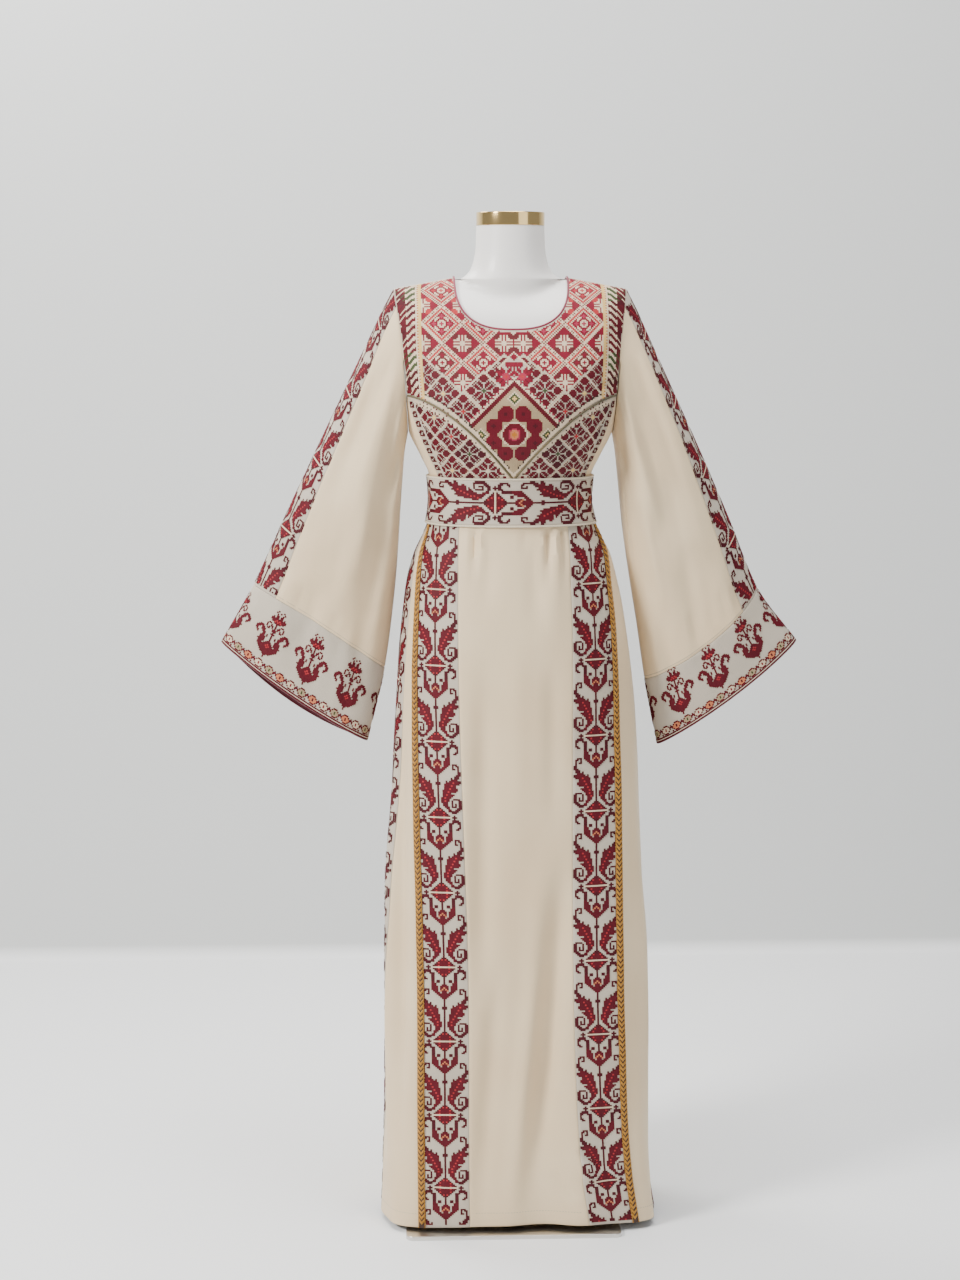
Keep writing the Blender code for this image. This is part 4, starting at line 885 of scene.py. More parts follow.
# what repeats: one shape set at many places
def makeRepeatTree():
    tree = bpy.data.node_groups.new("setOnCloth", "GeometryNodeTree")
    for label, kind in (
        ("Geometry", "NodeSocketGeometry"), ("Shape", "NodeSocketObject"),
        ("Finish", "NodeSocketMaterial"), ("Size", "NodeSocketFloat"),
    ):
        tree.interface.new_socket(name=label, in_out="INPUT", socket_type=kind)
    tree.interface.new_socket(name="Geometry", in_out="OUTPUT", socket_type="NodeSocketGeometry")
    given, result = tree.nodes.new("NodeGroupInput"), tree.nodes.new("NodeGroupOutput")

    def stored(label):
        made = tree.nodes.new("GeometryNodeInputNamedAttribute")
        made.data_type = "FLOAT_VECTOR"
        made.inputs["Name"].default_value = label
        return made.outputs["Attribute"]

    turn = tree.nodes.new("FunctionNodeAxesToRotation")
    turn.primary_axis, turn.secondary_axis = "Z", "X"
    tree.links.new(stored("outward"), turn.inputs["Primary Axis"])
    tree.links.new(stored("across"), turn.inputs["Secondary Axis"])
    grow = tree.nodes.new("ShaderNodeVectorMath")
    grow.operation = "SCALE"
    tree.links.new(stored("reach"), grow.inputs[0])
    tree.links.new(given.outputs["Size"], grow.inputs["Scale"])
    shape = tree.nodes.new("GeometryNodeObjectInfo")
    tree.links.new(given.outputs["Shape"], shape.inputs["Object"])
    place = tree.nodes.new("GeometryNodeInstanceOnPoints")
    tree.links.new(given.outputs["Geometry"], place.inputs["Points"])
    tree.links.new(shape.outputs["Geometry"], place.inputs["Instance"])
    tree.links.new(turn.outputs["Rotation"], place.inputs["Rotation"])
    tree.links.new(grow.outputs["Vector"], place.inputs["Scale"])
    real = tree.nodes.new("GeometryNodeRealizeInstances")
    tree.links.new(place.outputs["Instances"], real.inputs["Geometry"])
    coat = tree.nodes.new("GeometryNodeSetMaterial")
    tree.links.new(real.outputs["Geometry"], coat.inputs["Geometry"])
    tree.links.new(given.outputs["Finish"], coat.inputs["Material"])
    tree.links.new(coat.outputs["Geometry"], result.inputs["Geometry"])
    return tree


setOnCloth = makeRepeatTree()
helpers = []


def helperShape(name, points, faces):
    mesh = bpy.data.meshes.new(name)
    mesh.from_pydata(points, [], faces)
    mesh.shade_smooth()
    made = bpy.data.objects.new(name, mesh)
    bpy.context.scene.collection.objects.link(made)
    helpers.append(made)
    return made


def stitchShape():
    # one cross-stitch, a unit wide: two raised arms that cross, low between them
    half, low, corner, top = 0.5, 0.02, 0.12, 0.26
    points = [
        (-half, -half, corner), (0, -half, low), (half, -half, corner), (half, 0, low), (half, half, corner),
        (0, half, low), (-half, half, corner), (-half, 0, low), (0, 0, top),
    ]
    return helperShape("oneStitch", points, [(8, k, (k + 1) % 8) for k in range(8)])


def barShape(name, long, wide, tall):
    # a short raised thread along X
    points, faces = [], []
    for x, scale in ((-0.5, 0.35), (-0.36, 1.0), (0.36, 1.0), (0.5, 0.35)):
        for y, z in ((-0.5, 0.0), (-0.3, 0.8), (0.3, 0.8), (0.5, 0.0)):
            points.append((x * long, y * wide * scale, z * tall * scale))
    for i in range(3):
        for k in range(3):
            a = i * 4 + k
            faces.append((a, a + 4, a + 5, a + 1))
    faces += [(0, 1, 2, 3), (15, 14, 13, 12)]
    return helperShape(name, points, faces)


def beadShape():
    points, faces = [(0, 0, 0.9)], []
    for scale, z in ((0.40, 0.62), (0.5, 0.1)):
        for k in range(6):
            turn = math.pi * k / 3
            points.append((scale * math.cos(turn), scale * math.sin(turn), z))
    faces += [(0, 1 + k, 1 + (k + 1) % 6) for k in range(6)]
    faces += [(1 + k, 7 + k, 7 + (k + 1) % 6, 1 + (k + 1) % 6) for k in range(6)]
    return helperShape("edgeBead", points, faces)


def chevronShape():
    # two slanted arms that meet in a point, half a unit down
    points, faces = [], []
    for side in (-1, 1):
        base = len(points)
        for x, y in ((0, -0.5), (side * 0.5, 0.22)):
            for dy, z in ((-0.30, 0.0), (-0.14, 0.30), (0.14, 0.30), (0.30, 0.0)):
                points.append((x, y + dy, z))
        for k in range(3):
            quad = (base + k, base + k + 4, base + k + 5, base + k + 1)
            faces.append(quad if side > 0 else quad[::-1])
        end = (base + 4, base + 7, base + 6, base + 5)
        faces.append(end if side > 0 else end[::-1])
    return helperShape("chevron", points, faces)


shapes = {
    "stitch": stitchShape(), "topstitch": barShape("topstitch", 1.0, 0.32, 0.22),
    "bead": beadShape(), "chevron": chevronShape(),
}


def setShapes(name, shape, points, outward, across, reach, material, colours=None, size=1.0):
    # sets a shape at each point, through Geometry Nodes, and turns the result into a plain mesh
    mesh = bpy.data.meshes.new(name + "Points")
    mesh.from_pydata(points.tolist(), [], [])
    for label, values in (("outward", outward), ("across", across), ("reach", np.broadcast_to(reach, points.shape))):
        attribute = mesh.attributes.new(label, "FLOAT_VECTOR", "POINT")
        attribute.data.foreach_set("vector", np.ascontiguousarray(values, dtype=np.float32).ravel())
    if colours is not None:
        attribute = mesh.attributes.new("thread", "FLOAT_COLOR", "POINT")
        attribute.data.foreach_set("color", np.column_stack((colours, np.ones(len(colours)))).astype(np.float32).ravel())
    source = bpy.data.objects.new(name + "Source", mesh)
    bpy.context.scene.collection.objects.link(source)
    modifier = source.modifiers.new("setOnCloth", "NODES")
    modifier.node_group = setOnCloth
    given = {"Shape": shapes[shape], "Finish": material, "Size": size}
    for item in setOnCloth.interface.items_tree:
        if item.in_out == "INPUT" and item.name in given:
            modifier[item.identifier] = given[item.name]
    graph = bpy.context.evaluated_depsgraph_get()
    evaluated = source.evaluated_get(graph)
    made = bpy.data.meshes.new_from_object(evaluated, preserve_all_data_layers=True, depsgraph=graph)
    bpy.data.objects.remove(source)
    made.name = name
    for label in ("outward", "across", "reach"):
        if label in made.attributes:
            made.attributes.remove(made.attributes[label])
    if not made.materials or made.materials[0] is None:
        made.materials.clear()
        made.materials.append(material)
    piece = bpy.data.objects.new(name, made)
    bpy.context.scene.collection.objects.link(piece)
    return piece


pieceCount = 0


def dress(piece, nodes=()):
    global pieceCount
    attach(piece, "root")
    if nodes:
        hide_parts(*nodes)
    pieceCount += 1
    return piece


cloths = {}


def cloth(
    key, name, node, points, across, down, material, slot, held="hung", rests=(), tube=False, inside=None,
    thickness=0.0010, drop=0.0009,
):
    # a cloth piece on its node's own surface, kept so that stitches can be set on it
    middle = points * np.array((0, 0, 1.0)) if inside is None else inside
    normals = gridNormals(points, middle, tube)
    rolled = edgeDrop(points, normals, depth=drop, sides=not tube)
    piece = clothShell(name, rolled, normals, across, down, material, thickness, tube)
    dress(piece, (node,))
    flatDown = runAlong(points[:, points.shape[1] // 2])
    flatAcross = np.asarray(across if np.ndim(across) == 1 else across[points.shape[0] // 2])
    turn = slice(None, None, 1 if flatAcross[-1] > flatAcross[0] else -1)
    cloths[key] = dict(
        points=rolled[:, turn], normals=normals[:, turn], across=flatAcross[turn], down=flatDown, piece=piece
    )
    return cloths[key]

# bodice
bodice = {"cell": 0.0065, "rowsChest": 52, "rowsLower": 26, "rowsBack": 58}


def topLine(back, columns):
    # the neckline and the shoulder seam of one half, as x and z from the centre outwards
    xs = cut["neckHalf"] * np.sin(np.pi / 2 * np.linspace(0, 1, 901))
    zs = necklineZ(xs, back)
    ways = runAlong(bodiceAt(xs, zs, back))
    at = np.linspace(0, ways[-1], columns[0] + 1)
    seam = np.linspace(cut["neckHalf"], cut["shoulderHalf"], columns[1] + 1)[1:]
    x = np.concatenate((np.interp(at, ways, xs), seam))
    return np.column_stack((x, np.concatenate((np.interp(at, ways, zs), ridgeZ(seam)))))


def bodiceGrid(top, bottom, shares, back):
    t = shares[:, None]
    line = top[None] * (1 - t[..., None]) + bottom[None] * t[..., None]
    stray = bodiceHalf(line[:, -1:, 1]) - halfGap - line[:, -1:, 0]
    reach = np.linspace(0, 1, len(top))[None] ** 2
    x, z = line[..., 0] + stray * reach, line[..., 1]
    x = np.concatenate((-x[:, :0:-1], x), axis=1)
    z = np.concatenate((z[:, :0:-1], z), axis=1)
    return x, z


def chestEase(rows):
    # rows close together where the shoulder turns over, and at the seam below
    even = np.linspace(0, 1, rows + 1)
    start = np.array((0.002, 0.006, 0.012, 0.020))
    return np.unique(np.concatenate((even**1.25, start, 1 - start[:3])))


halfColumns = (26, 14)
halfV = bodiceHalf(cut["seamMeetsArmholeZ"])
shareLine = np.linspace(0, 1, sum(halfColumns) + 1)
vLine = np.column_stack((halfV * shareLine, vLineZ(halfV * shareLine)))
waistLine = np.column_stack((bodiceHalf(cut["waistZ"]) * shareLine, 0 * shareLine + cut["waistZ"] + halfGap))

for key, name, lineOver, lineUnder, rows, back in (
    ("chest", "chest_cloth", topLine(False, halfColumns), vLine + (0, halfGap), bodice["rowsChest"], False),
    ("lower", "lower_bodice_cloth", vLine - (0, halfGap), waistLine, bodice["rowsLower"], False),
    ("back", "back_bodice_cloth", topLine(True, halfColumns), waistLine, bodice["rowsBack"], True),
):
    x, z = bodiceGrid(lineOver, lineUnder, chestEase(rows), back)
    points = bodiceSurface(x, z, back)
    s, h = chestMeasure(x, z)
    nodeName = {"chest": "chest_panel", "lower": "lower_bodice", "back": "back_bodice"}[key]
    cloth(
        key, name, nodeName, points, s, h, finish["ivoryCrepe" if back else "evenWeave"],
        "cream_cloth" if back else "embroidered_cloth", held="stretched", rests=("form_shell_piece",),
        drop=0.0007,
    )
for side, word in ((-1, "left"), (1, "right")):
    share = spread(1.0, 0.06, rim=False)[None]
    t = chestEase(24)[:, None]
    high = armholeLowZ(share) - halfGap
    z = high + (cut["waistZ"] + halfGap - high) * t
    edge = sideAngle(z, bodiceHalf(z) + halfGap)
    points = sectionAt(edge + (180 - 2 * edge) * share, z) * np.array((side, 1, 1))
    cloth(
        "sidePanel" + word, f"side_panel_cloth_{word}", f"side_panel_{word}", points, share[0] * 0.13, (1.32 - z),
        finish["ivoryCrepe"], "cream_cloth", held="stretched", rests=("form_shell_piece",),
    )
print("bodice cut")

# skirt
skirt = {"cell": 0.0068, "braidLift": 0.0017, "braidThick": 0.0012}
skirtTop = cut["waistZ"] - halfGap
skirtDown = np.concatenate((np.linspace(0, 0.062, 11), 0.062 + spread(skirtTop - 0.062 - cut["hemZ"], skirt["cell"])[3:]))


def skirtGrid(ways, down, lift=0.0):
    # ways holds the way round for every row and column
    levels = (skirtTop - down)[:, None]
    share = (cut["waistZ"] - levels) / (cut["waistZ"] - cut["hemZ"])
    return skirtSurface(ways, levels + (hemZ(ways) - cut["hemZ"]) * share, lift)


def skirtPiece(key, name, node, near, far, material, slot, down=skirtDown, cell=skirt["cell"]):
    # near and far are the ways round of both edges, by height
    levels = skirtTop - down
    nearWay, farWay = near(levels), far(levels)
    steady = spread(abs(farWay[-1] - nearWay[-1]), cell)
    share = steady / steady[-1]
    ways = nearWay[:, None] + (farWay - nearWay)[:, None] * share[None]
    points = skirtGrid(ways, down)
    across = ways - (nearWay + farWay)[:, None] / 2
    return cloth(key, name, node, points, across, -down[:, None], material, slot, held="gathered", rests=("belt_cloth",))


def bandEnd(z, side):
    return bandStart(z, side) + cut["bandWidth"]


skirtPiece(
    "skirtCentre", "skirt_centre_cloth", "skirt_centre", lambda levels: halfGap - bandStart(levels, -1),
    lambda levels: bandStart(levels, 1) - halfGap, finish["ivoryCrepe"], "cream_cloth",
)
for side, word in ((-1, "left"), (1, "right")):

    def bandNear(levels, side=side):
        return side * (bandStart(levels, side) + halfGap)

    def bandFar(levels, side=side):
        return side * (bandEnd(levels, side) - halfGap)

    def sideNear(levels, side=side):
        return side * (bandEnd(levels, side) + halfGap)

    def sideStart(levels, side=side):
        return side * (sideBandStart(levels, side) - halfGap)

    def sideBandNear(levels, side=side):
        return side * (sideBandStart(levels, side) + halfGap)

    def sideBandFar(levels, side=side):
        return side * (sideBandStart(levels, side) + cut["bandWidth"] - halfGap)

    skirtPiece(
        "skirtBand" + word, f"skirt_band_cloth_{word}", f"skirt_band_{word}",
        bandNear, bandFar, finish["evenWeave"], "embroidered_cloth",
    )
    skirtPiece(
        "skirtSide" + word, f"skirt_side_cloth_{word}", f"skirt_side_{word}", sideNear,
        sideStart, finish["ivoryCrepe"], "cream_cloth",
    )
    skirtPiece(
        "sideBand" + word, f"side_band_cloth_{word}", f"side_band_{word}", sideBandNear, sideBandFar,
        finish["evenWeave"], "embroidered_cloth",
    )


def backNear(levels):
    return sideBandStart(levels, 1) + cut["bandWidth"] + halfGap


def backFar(levels):
    return byLevel(skirtRound, levels) - sideBandStart(levels, -1) - cut["bandWidth"] - halfGap


def skirtBackPiece():
    # behind, the ways run past the centre back, so they are brought into the table's range
    levels = skirtTop - skirtDown
    nearWay, farWay = backNear(levels), backFar(levels)
    share = spread(0.72, 0.0075) / 0.72
    ways = nearWay[:, None] + (farWay - nearWay)[:, None] * share[None]
    around = byLevel(skirtRound, levels)[:, None]
    wrapped = np.where(ways > around / 2, ways - around, ways)
    rows = (skirtTop - skirtDown)[:, None] + 0 * ways
    hang = (cut["waistZ"] - rows) / (cut["waistZ"] - cut["hemZ"])
    points = skirtSurface(wrapped, rows + (hemZ(ways) - cut["hemZ"]) * hang)
    across = ways - (nearWay + farWay)[:, None] / 2
    cloth(
        "skirtBack", "skirt_back_cloth", "skirt_back", points, across, -skirtDown[:, None], finish["ivoryCrepe"],
        "cream_cloth", held="gathered", rests=("belt_cloth",),
    )


skirtBackPiece()
print("skirt cut")

# sleeves and cuffs
sleeve = {"rows": 92, "bandCell": 0.0060, "cell": 0.0075, "clear": 0.0004}
pieceEdges = {}


def sleeveCentre(side, along):
    # the middle line inside a sleeve
    rows = sleeveRows[side]
    x = 0 * along + side * (readTable(rows, 1, along) + readTable(rows, 3, along)) / 2
    z = (readTable(rows, 2, along) + readTable(rows, 4, along)) / 2
    return np.stack((x, 0 * along, z), axis=-1)


for side, word in ((-1, "left"), (1, "right")):
    shareDown = np.unique(np.concatenate((np.linspace(0, 1, sleeve["rows"]), (0.002, 0.005, 0.995, 0.998))))
    columnsOf = {
        "band": spread(2 * cut["sleeveBandHalf"], sleeve["bandCell"]) / (2 * cut["sleeveBandHalf"]),
        "front": spread(0.24, sleeve["cell"]) / 0.24,
        "back": spread(0.24, sleeve["cell"]) / 0.24,
    }
    for part, share in columnsOf.items():
        angleGrid = np.empty((len(shareDown), len(share)))
        wayGrid = np.empty_like(angleGrid)
        for i, t in enumerate(shareDown):
            ringAngles, ringWays = sleeveRing(side, round(float(t), 4))
            under = np.interp(180, ringAngles, ringWays)
            middle, half = bandMiddle(t), cut["sleeveBandHalf"]
            near, far = {
                "band": (middle - half, middle + half), "front": (middle + half, under),
                "back": (under, ringWays[-1] + middle - half),
            }[part]
            ways = near + halfGap + (far - near - 2 * halfGap) * share
            angleGrid[i] = np.interp(ways % ringWays[-1], ringWays, ringAngles)
            wayGrid[i] = ways - (near + far) / 2
        along = shareDown[:, None] * (cuffLine(side, angleGrid, False) - 0.0004)
        points = sleeveSurface(side, angleGrid, along)
        points[0, :, 0] += side * sleeve["clear"]
        centre = sleeveCentre(side, along)
        downWay = runAlong(points[:, len(share) // 2])
        plain = part != "band"
        cloth(
            f"sleeve{part}{word}", f"sleeve_{part}_cloth_{word}", f"sleeve_{part}_{word}", points, wayGrid,
            -downWay[:, None], finish["ivoryCrepe" if plain else "evenWeave"],
            "cream_cloth" if plain else "embroidered_cloth", held="hung",
            rests=("chest_cloth", "back_bodice_cloth"), inside=centre,
        )
    # the cuff is one tube; it starts and ends at the back edge of the sleeve band
    ringAngles, ringWays = sleeveRing(side, 1.09)
    length = ringWays[-1]
    ways = np.linspace(0, length, 97)
    turns = np.interp((ways + bandMiddle(1.0) - cut["sleeveBandHalf"]) % length, ringWays, ringAngles)
    for key, facing in (("cuff", False), ("facing", True)):
        low = cuffLine(side, turns, True)
        high = low - cut["facingHeight"] / 0.62 if facing else cuffLine(side, turns, False) + 0.0004
        shareCuff = spread(0.11, 0.0055)[:, None] / 0.11
        along = high + (low - high) * shareCuff
        points = sleeveSurface(side, turns[None] + 0 * along, along)
        centre = sleeveCentre(side, along)
        if facing:
            normals = gridNormals(points, centre, True)
            points = points - normals * 0.0027
        cloth(
            key + word, f"{key}_cloth_{word}", f"cuff_{word}" if not facing else f"cuff_facing_{word}", points,
            ways - length / 2, -0.112 * shareCuff, finish["facingSatin" if facing else "evenWeave"],
            "burgundy_facing" if facing else "embroidered_cloth", held="hung",
            rests=(f"sleeve_front_cloth_{word}", f"sleeve_back_cloth_{word}"), tube=True, inside=centre,
            thickness=0.0008 if facing else 0.0012,
        )
        pieceEdges[key + word] = length
print("sleeves cut")

# belt
belt = {"lift": 0.0016, "thick": 0.0018, "edge": 0.0013, "ends": 0.0010, "cell": 0.0065}


def beltRing(z, lift, count):
    length = byLevel(skirtRound, z)
    way = -length / 2 + belt["ends"] + (length - 2 * belt["ends"]) * np.linspace(0, 1, count + 1)
    plain = skirtAt(way, z)
    along = unit((skirtAt(way + 0.003, z) - skirtAt(way - 0.003, z))[:, :2])
    plain[:, 0] += lift * along[:, 1]
    plain[:, 1] -= lift * along[:, 0]
    return plain, way


def makeBelt():
    low = cut["beltBottomZ"] + 2 * belt["edge"] + 0.0003
    high = cut["beltTopZ"] - 2 * belt["edge"] - 0.0003
    rowsDown = spread(high - low, 0.005)
    rows = []
    for down in rowsDown:
        ring, way = beltRing(high - down, belt["lift"] + belt["thick"] + 0.0004, 150)
        # the faint level wrinkles of a worn stiff belt
        crease = 0.0007 * np.exp(-(((down - 0.020 - 0.006 * np.sin(way * 9)) / 0.003) ** 2)) * smooth(1 - np.abs(way - 0.02) / 0.13)
        crease += 0.0008 * np.exp(-(((down - 0.048 + 0.005 * np.sin(way * 14)) / 0.0028) ** 2)) * smooth(1 - np.abs(way + 0.06) / 0.08)
        middle = ring * np.array((0, 0, 1.0))
        rows.append(ring - unit(ring - middle) * crease[:, None])
    points = np.array(rows)
    way = np.linspace(-0.355, 0.355, points.shape[1])
    cloth(
        "belt", "belt_cloth", "belt", points, way, -rowsDown[:, None], finish["evenWeave"], "embroidered_cloth",
        held="stretched", rests=("lower_bodice_cloth", "back_bodice_cloth"), thickness=0.0014,
    )
    for word, z in (("bottom", cut["beltBottomZ"] + belt["edge"]), ("top", cut["beltTopZ"] - belt["edge"])):
        path, _ = beltRing(z, belt["lift"] + belt["edge"] + 0.0006, 150)
        cord = tubeAlong(f"belt_cord_{word}", path, belt["edge"] + 0.0003, 8, finish["creamCord"], closed=False)
        dress(cord, (f"belt_piping_{word}",))


makeBelt()
print("belt made")

# neck binding
def makeNeckBinding():
    loops = []
    for back in (False, True):
        line = topLine(back, (26, 0))
        half = bodiceSurface(line[:, 0], line[:, 1], back)
        mirrored = half * np.array((-1, 1, 1))
        full = np.concatenate((mirrored[:0:-1], half))
        loops.append(full if not back else full[::-1])
    path = np.concatenate((loops[0], loops[1][1:-1]))
    path[np.abs(path[:, 1]) < 0.0006, 1] = 0
    # it stands on the cut edge, towards the opening
    middle = path.mean(axis=0)
    inward = middle - path
    inward[:, 2] = np.abs(inward[:, 2]) * 0.6 + 0.02
    cord = tubeAlong("neck_binding_cord", path + unit(inward) * 0.0016, 0.0017, 8, finish["roseBinding"])
    dress(cord, ("neck_binding",))


makeNeckBinding()

# gold braid
def makeBraid(side, word):
    down = np.concatenate((np.arange(0.040, skirtTop - cut["hemZ"] - 0.0005, 0.0060), [skirtTop - cut["hemZ"]]))
    lifts = np.array((0.0006, 0.0017, 0.0018, 0.0018, 0.0017, 0.0006))
    offsets = np.array((-0.0055, -0.0048, -0.0016, 0.0016, 0.0048, 0.0055))
    ways = side * (bandEnd(skirtTop - down, side)[:, None] + offsets[None])
    points = skirtGrid(ways, down, lifts[None] + 0 * down[:, None])
    normals = gridNormals(points, points * np.array((0, 0, 1.0)))
    ground = clothShell(f"braid_ground_{word}", points, normals, side * offsets, -down[:, None], finish["braidGround"], 0.0008)
    dress(ground, (f"skirt_braid_{word}",))
    # gold chevrons that point down, and a row of loops along both edges
    atDown = np.arange(0.042, skirtTop - cut["hemZ"] - 0.004, 0.0080)
    braid = dict(points=points, normals=normals, across=offsets, down=down)
    places, outward, _ = onGrid(braid, 0 * atDown, atDown)
    across = unit(np.cross(np.array((0, 0, 1.0)), outward))
    chevrons = setShapes(
        f"braid_chevrons_{word}", "chevron", places, outward, across, np.array((0.0096, 0.0084, 0.0036)), finish["braidGold"]
    )
    dress(chevrons, ())
    edges = []
    for offset in (-0.0050, 0.0050):
        step = np.arange(0.041, skirtTop - cut["hemZ"] - 0.001, 0.0026)
        edges.append(onGrid(braid, 0 * step + offset, step))
    spots, outs, runs = [np.concatenate([edge[k] for edge in edges]) for k in range(3)]
    loops = setShapes(f"braid_loops_{word}", "bead", spots, outs, runs, np.array((0.0021, 0.0025, 0.0012)), finish["braidGold"])
    dress(loops, ())


for side, word in ((-1, "left"), (1, "right")):
    makeBraid(side, word)
print("trims made")

# dress form and stand
form = {
    "columns": 44, "shoulderDrop": 0.0031, "bottomZ": 0.800, "edge": 0.012, "neckTopZ": 1.5790,
    "capRadius": 0.0535, "capHeight": 0.0207, "poleRadius": 0.0125, "baseSide": 0.340, "baseThick": 0.006,
}
formRows = (
    (1.600, 0.0040, 0.172), (1.483, 0.0040, 0.174), (1.450, 0.0040, 0.1745), (1.400, 0.0040, 0.170),
    (1.350, 0.0040, 0.164), (1.300, 0.0040, 0.1595), (1.262, 0.0040, 0.1550), (1.220, 0.0040, 0.200),
    (1.125, 0.0045, 0.200), (1.085, 0.0080, 0.200), (1.020, 0.0095, 0.200), (0.930, 0.0120, 0.200),
    (0.850, 0.0170, 0.200), (0.800, 0.0270, 0.200),
)
neckRows = (
    (1.400, 0.004, 0.004), (1.440, 0.030, 0.028), (1.460, 0.052, 0.047), (1.475, 0.066, 0.0545),
    (1.485, 0.074, 0.0575), (1.4969, 0.078, 0.0585), (1.5010, 0.072, 0.0582), (1.5100, 0.0635, 0.0570),
    (1.5240, 0.0580, 0.0555), (1.5450, 0.0543, 0.0540), (1.5790, 0.0530, 0.0530),
)
formLevels = (
    (0.800, 0.803, 0.806, 0.812, 0.840, 0.870, 0.905, 0.940, 0.970, 1.000, 1.045, 1.080, 1.110, 1.140, 1.170)
    + (1.200, 1.220, 1.235, 1.250, 1.265, 1.282, 1.300, 1.320, 1.340, 1.357, 1.375, 1.390, 1.405, 1.418, 1.430)
    + (1.440, 1.450, 1.458, 1.465, 1.471, 1.4755, 1.4808, 1.486, 1.4890, 1.4915, 1.4934, 1.4950, 1.4965)
    + (1.4971, 1.4990, 1.5010, 1.5050, 1.5100, 1.5170, 1.5240, 1.5345, 1.5450, 1.5620, 1.5790)
)


def formRing(z):
    clearance, stump = readTable(formRows, 1, z), readTable(formRows, 2, z)
    neckHalf = float(readTable(neckRows, 1, z)) if z > 1.4 else 0.0
    neckDeep = float(readTable(neckRows, 2, z)) if z > 1.4 else 0.0
    underRidge = cut["neckHalf"] + (cut["shoulderNeckZ"] - form["shoulderDrop"] - z) / cut["shoulderFall"]
    underRidge = 0.0 if underRidge < cut["neckHalf"] else underRidge
    cutOff = smooth((z - 1.235) / 0.04)
    ring = []
    for back in (False, True):
        k = np.arange(form["columns"])
        turn = np.sin(np.pi * (k / form["columns"] - 0.5)) * (-1 if back else 1)
        half = np.where(turn > 0, readTable(bodyRows, 2, z), readTable(bodyRows, 1, z)) - clearance
        half = np.maximum(np.minimum(np.minimum(half, stump), underRidge), neckHalf)
        x = half * turn
        body = chestDepth(x, z, back, clearance, form["shoulderDrop"])
        body = body * (1 - cutOff * (1 - np.sqrt(np.maximum(1 - np.abs(turn) ** 16, 0))))
        neck = neckDeep * np.sqrt(np.maximum(1 - (x / neckHalf) ** 2, 0)) if neckHalf else 0 * x
        y = (body**8 + neck**8) ** (1 / 8)
        ring.append(np.column_stack((x, y if back else -y, 0 * x + z)))
    return np.concatenate(ring)


def makeForm():
    rings = []
    for z in formLevels:
        ring = formRing(z)
        if z < form["bottomZ"] + form["edge"]:
            inside = form["edge"] ** 2 - (form["bottomZ"] + form["edge"] - z) ** 2
            ring[:, :2] *= 1 - (form["edge"] - math.sqrt(max(inside, 0))) / 0.15
        rings.append(ring)
    columns = len(rings[0])
    faces = [tuple(range(columns)), tuple(range((len(rings) - 1) * columns, len(rings) * columns))]
    for i in range(len(rings) - 1):
        for k in range(columns):
            here, then = i * columns, (i + 1) * columns
            faces.append((here + k, here + (k + 1) % columns, then + (k + 1) % columns, then + k))
    shell = addPiece("form_shell_piece", np.concatenate(rings), faces, finish["formShell"])
    fixNormals(shell, 40)
    dress(shell, ("form_torso",))


def fixNormals(piece, angle):
    cleanMesh(piece, 0.00002)
    piece.data.set_sharp_from_angle(angle=math.radians(angle))


def turned(name, profile, sides, material, node, slot):
    # a turned solid from radius and height pairs, bottom to top
    profile = np.array(profile)
    turn = 2 * np.pi * np.arange(sides) / sides
    points = np.stack((profile[:, :1] * np.cos(turn), profile[:, :1] * np.sin(turn), profile[:, 1:] + 0 * turn), -1)
    index = np.arange(points.shape[0] * sides).reshape(-1, sides)
    ahead = np.roll(index, -1, axis=1)
    quads = np.stack((index[:-1], ahead[:-1], ahead[1:], index[1:]), -1).reshape(-1, 4).tolist()
    quads += [tuple(index[0]), tuple(index[-1])]
    piece = addPiece(name, points.reshape(-1, 3), quads, material)
    fixNormals(piece, 35)
    dress(piece, (node,))


def makeStand():
    low = form["neckTopZ"] + 0.0003
    high, r, e = low + form["capHeight"], form["capRadius"], 0.0014
    bend = [(r - e + e * math.cos(t), high - e + e * math.sin(t)) for t in np.linspace(0, math.pi / 2, 6)]
    turned("neck_cap_piece", [(r - 0.0006, low), (r, low + 0.0006), *bend, (0.02, high)], 96, finish["capGold"], "neck_cap", "brass")
    p = form["poleRadius"]
    top = form["bottomZ"] - 0.0003
    turned(
        "form_pole_piece", [(p, form["baseThick"] + 0.0003), (p, 0.30), (p - 0.0004, 0.301), (p - 0.0004, 0.303), (p, 0.304), (p, top)],
        40, finish["standSteel"], "form_pole", "steel",
    )
    shaped = bmesh.new()
    side, thick = form["baseSide"], form["baseThick"]
    bmesh.ops.create_cube(shaped, size=1.0)
    bmesh.ops.scale(shaped, vec=(side, side, thick), verts=shaped.verts)
    bmesh.ops.translate(shaped, vec=(0, 0, thick / 2), verts=shaped.verts)
    upright = [e for e in shaped.edges if abs(e.verts[0].co.z - e.verts[1].co.z) > thick / 2]
    bmesh.ops.bevel(shaped, geom=upright, offset=0.012, segments=6, profile=0.5, affect="EDGES")
    rim = [e for e in shaped.edges if e.verts[0].co.z > thick * 0.9 and e.verts[1].co.z > thick * 0.9]
    bmesh.ops.bevel(shaped, geom=rim, offset=0.0010, segments=3, profile=0.5, affect="EDGES")
    mesh = bpy.data.meshes.new("base_plate_piece")
    shaped.to_mesh(mesh)
    shaped.free()
    mesh.materials.append(finish["standSteel"])
    mesh.shade_smooth()
    mesh.set_sharp_from_angle(angle=math.radians(35))
    plate = bpy.data.objects.new("base_plate_piece", mesh)
    bpy.context.scene.collection.objects.link(plate)
    dress(plate, ("form_base",))


makeForm()
makeStand()
print("form and stand made")
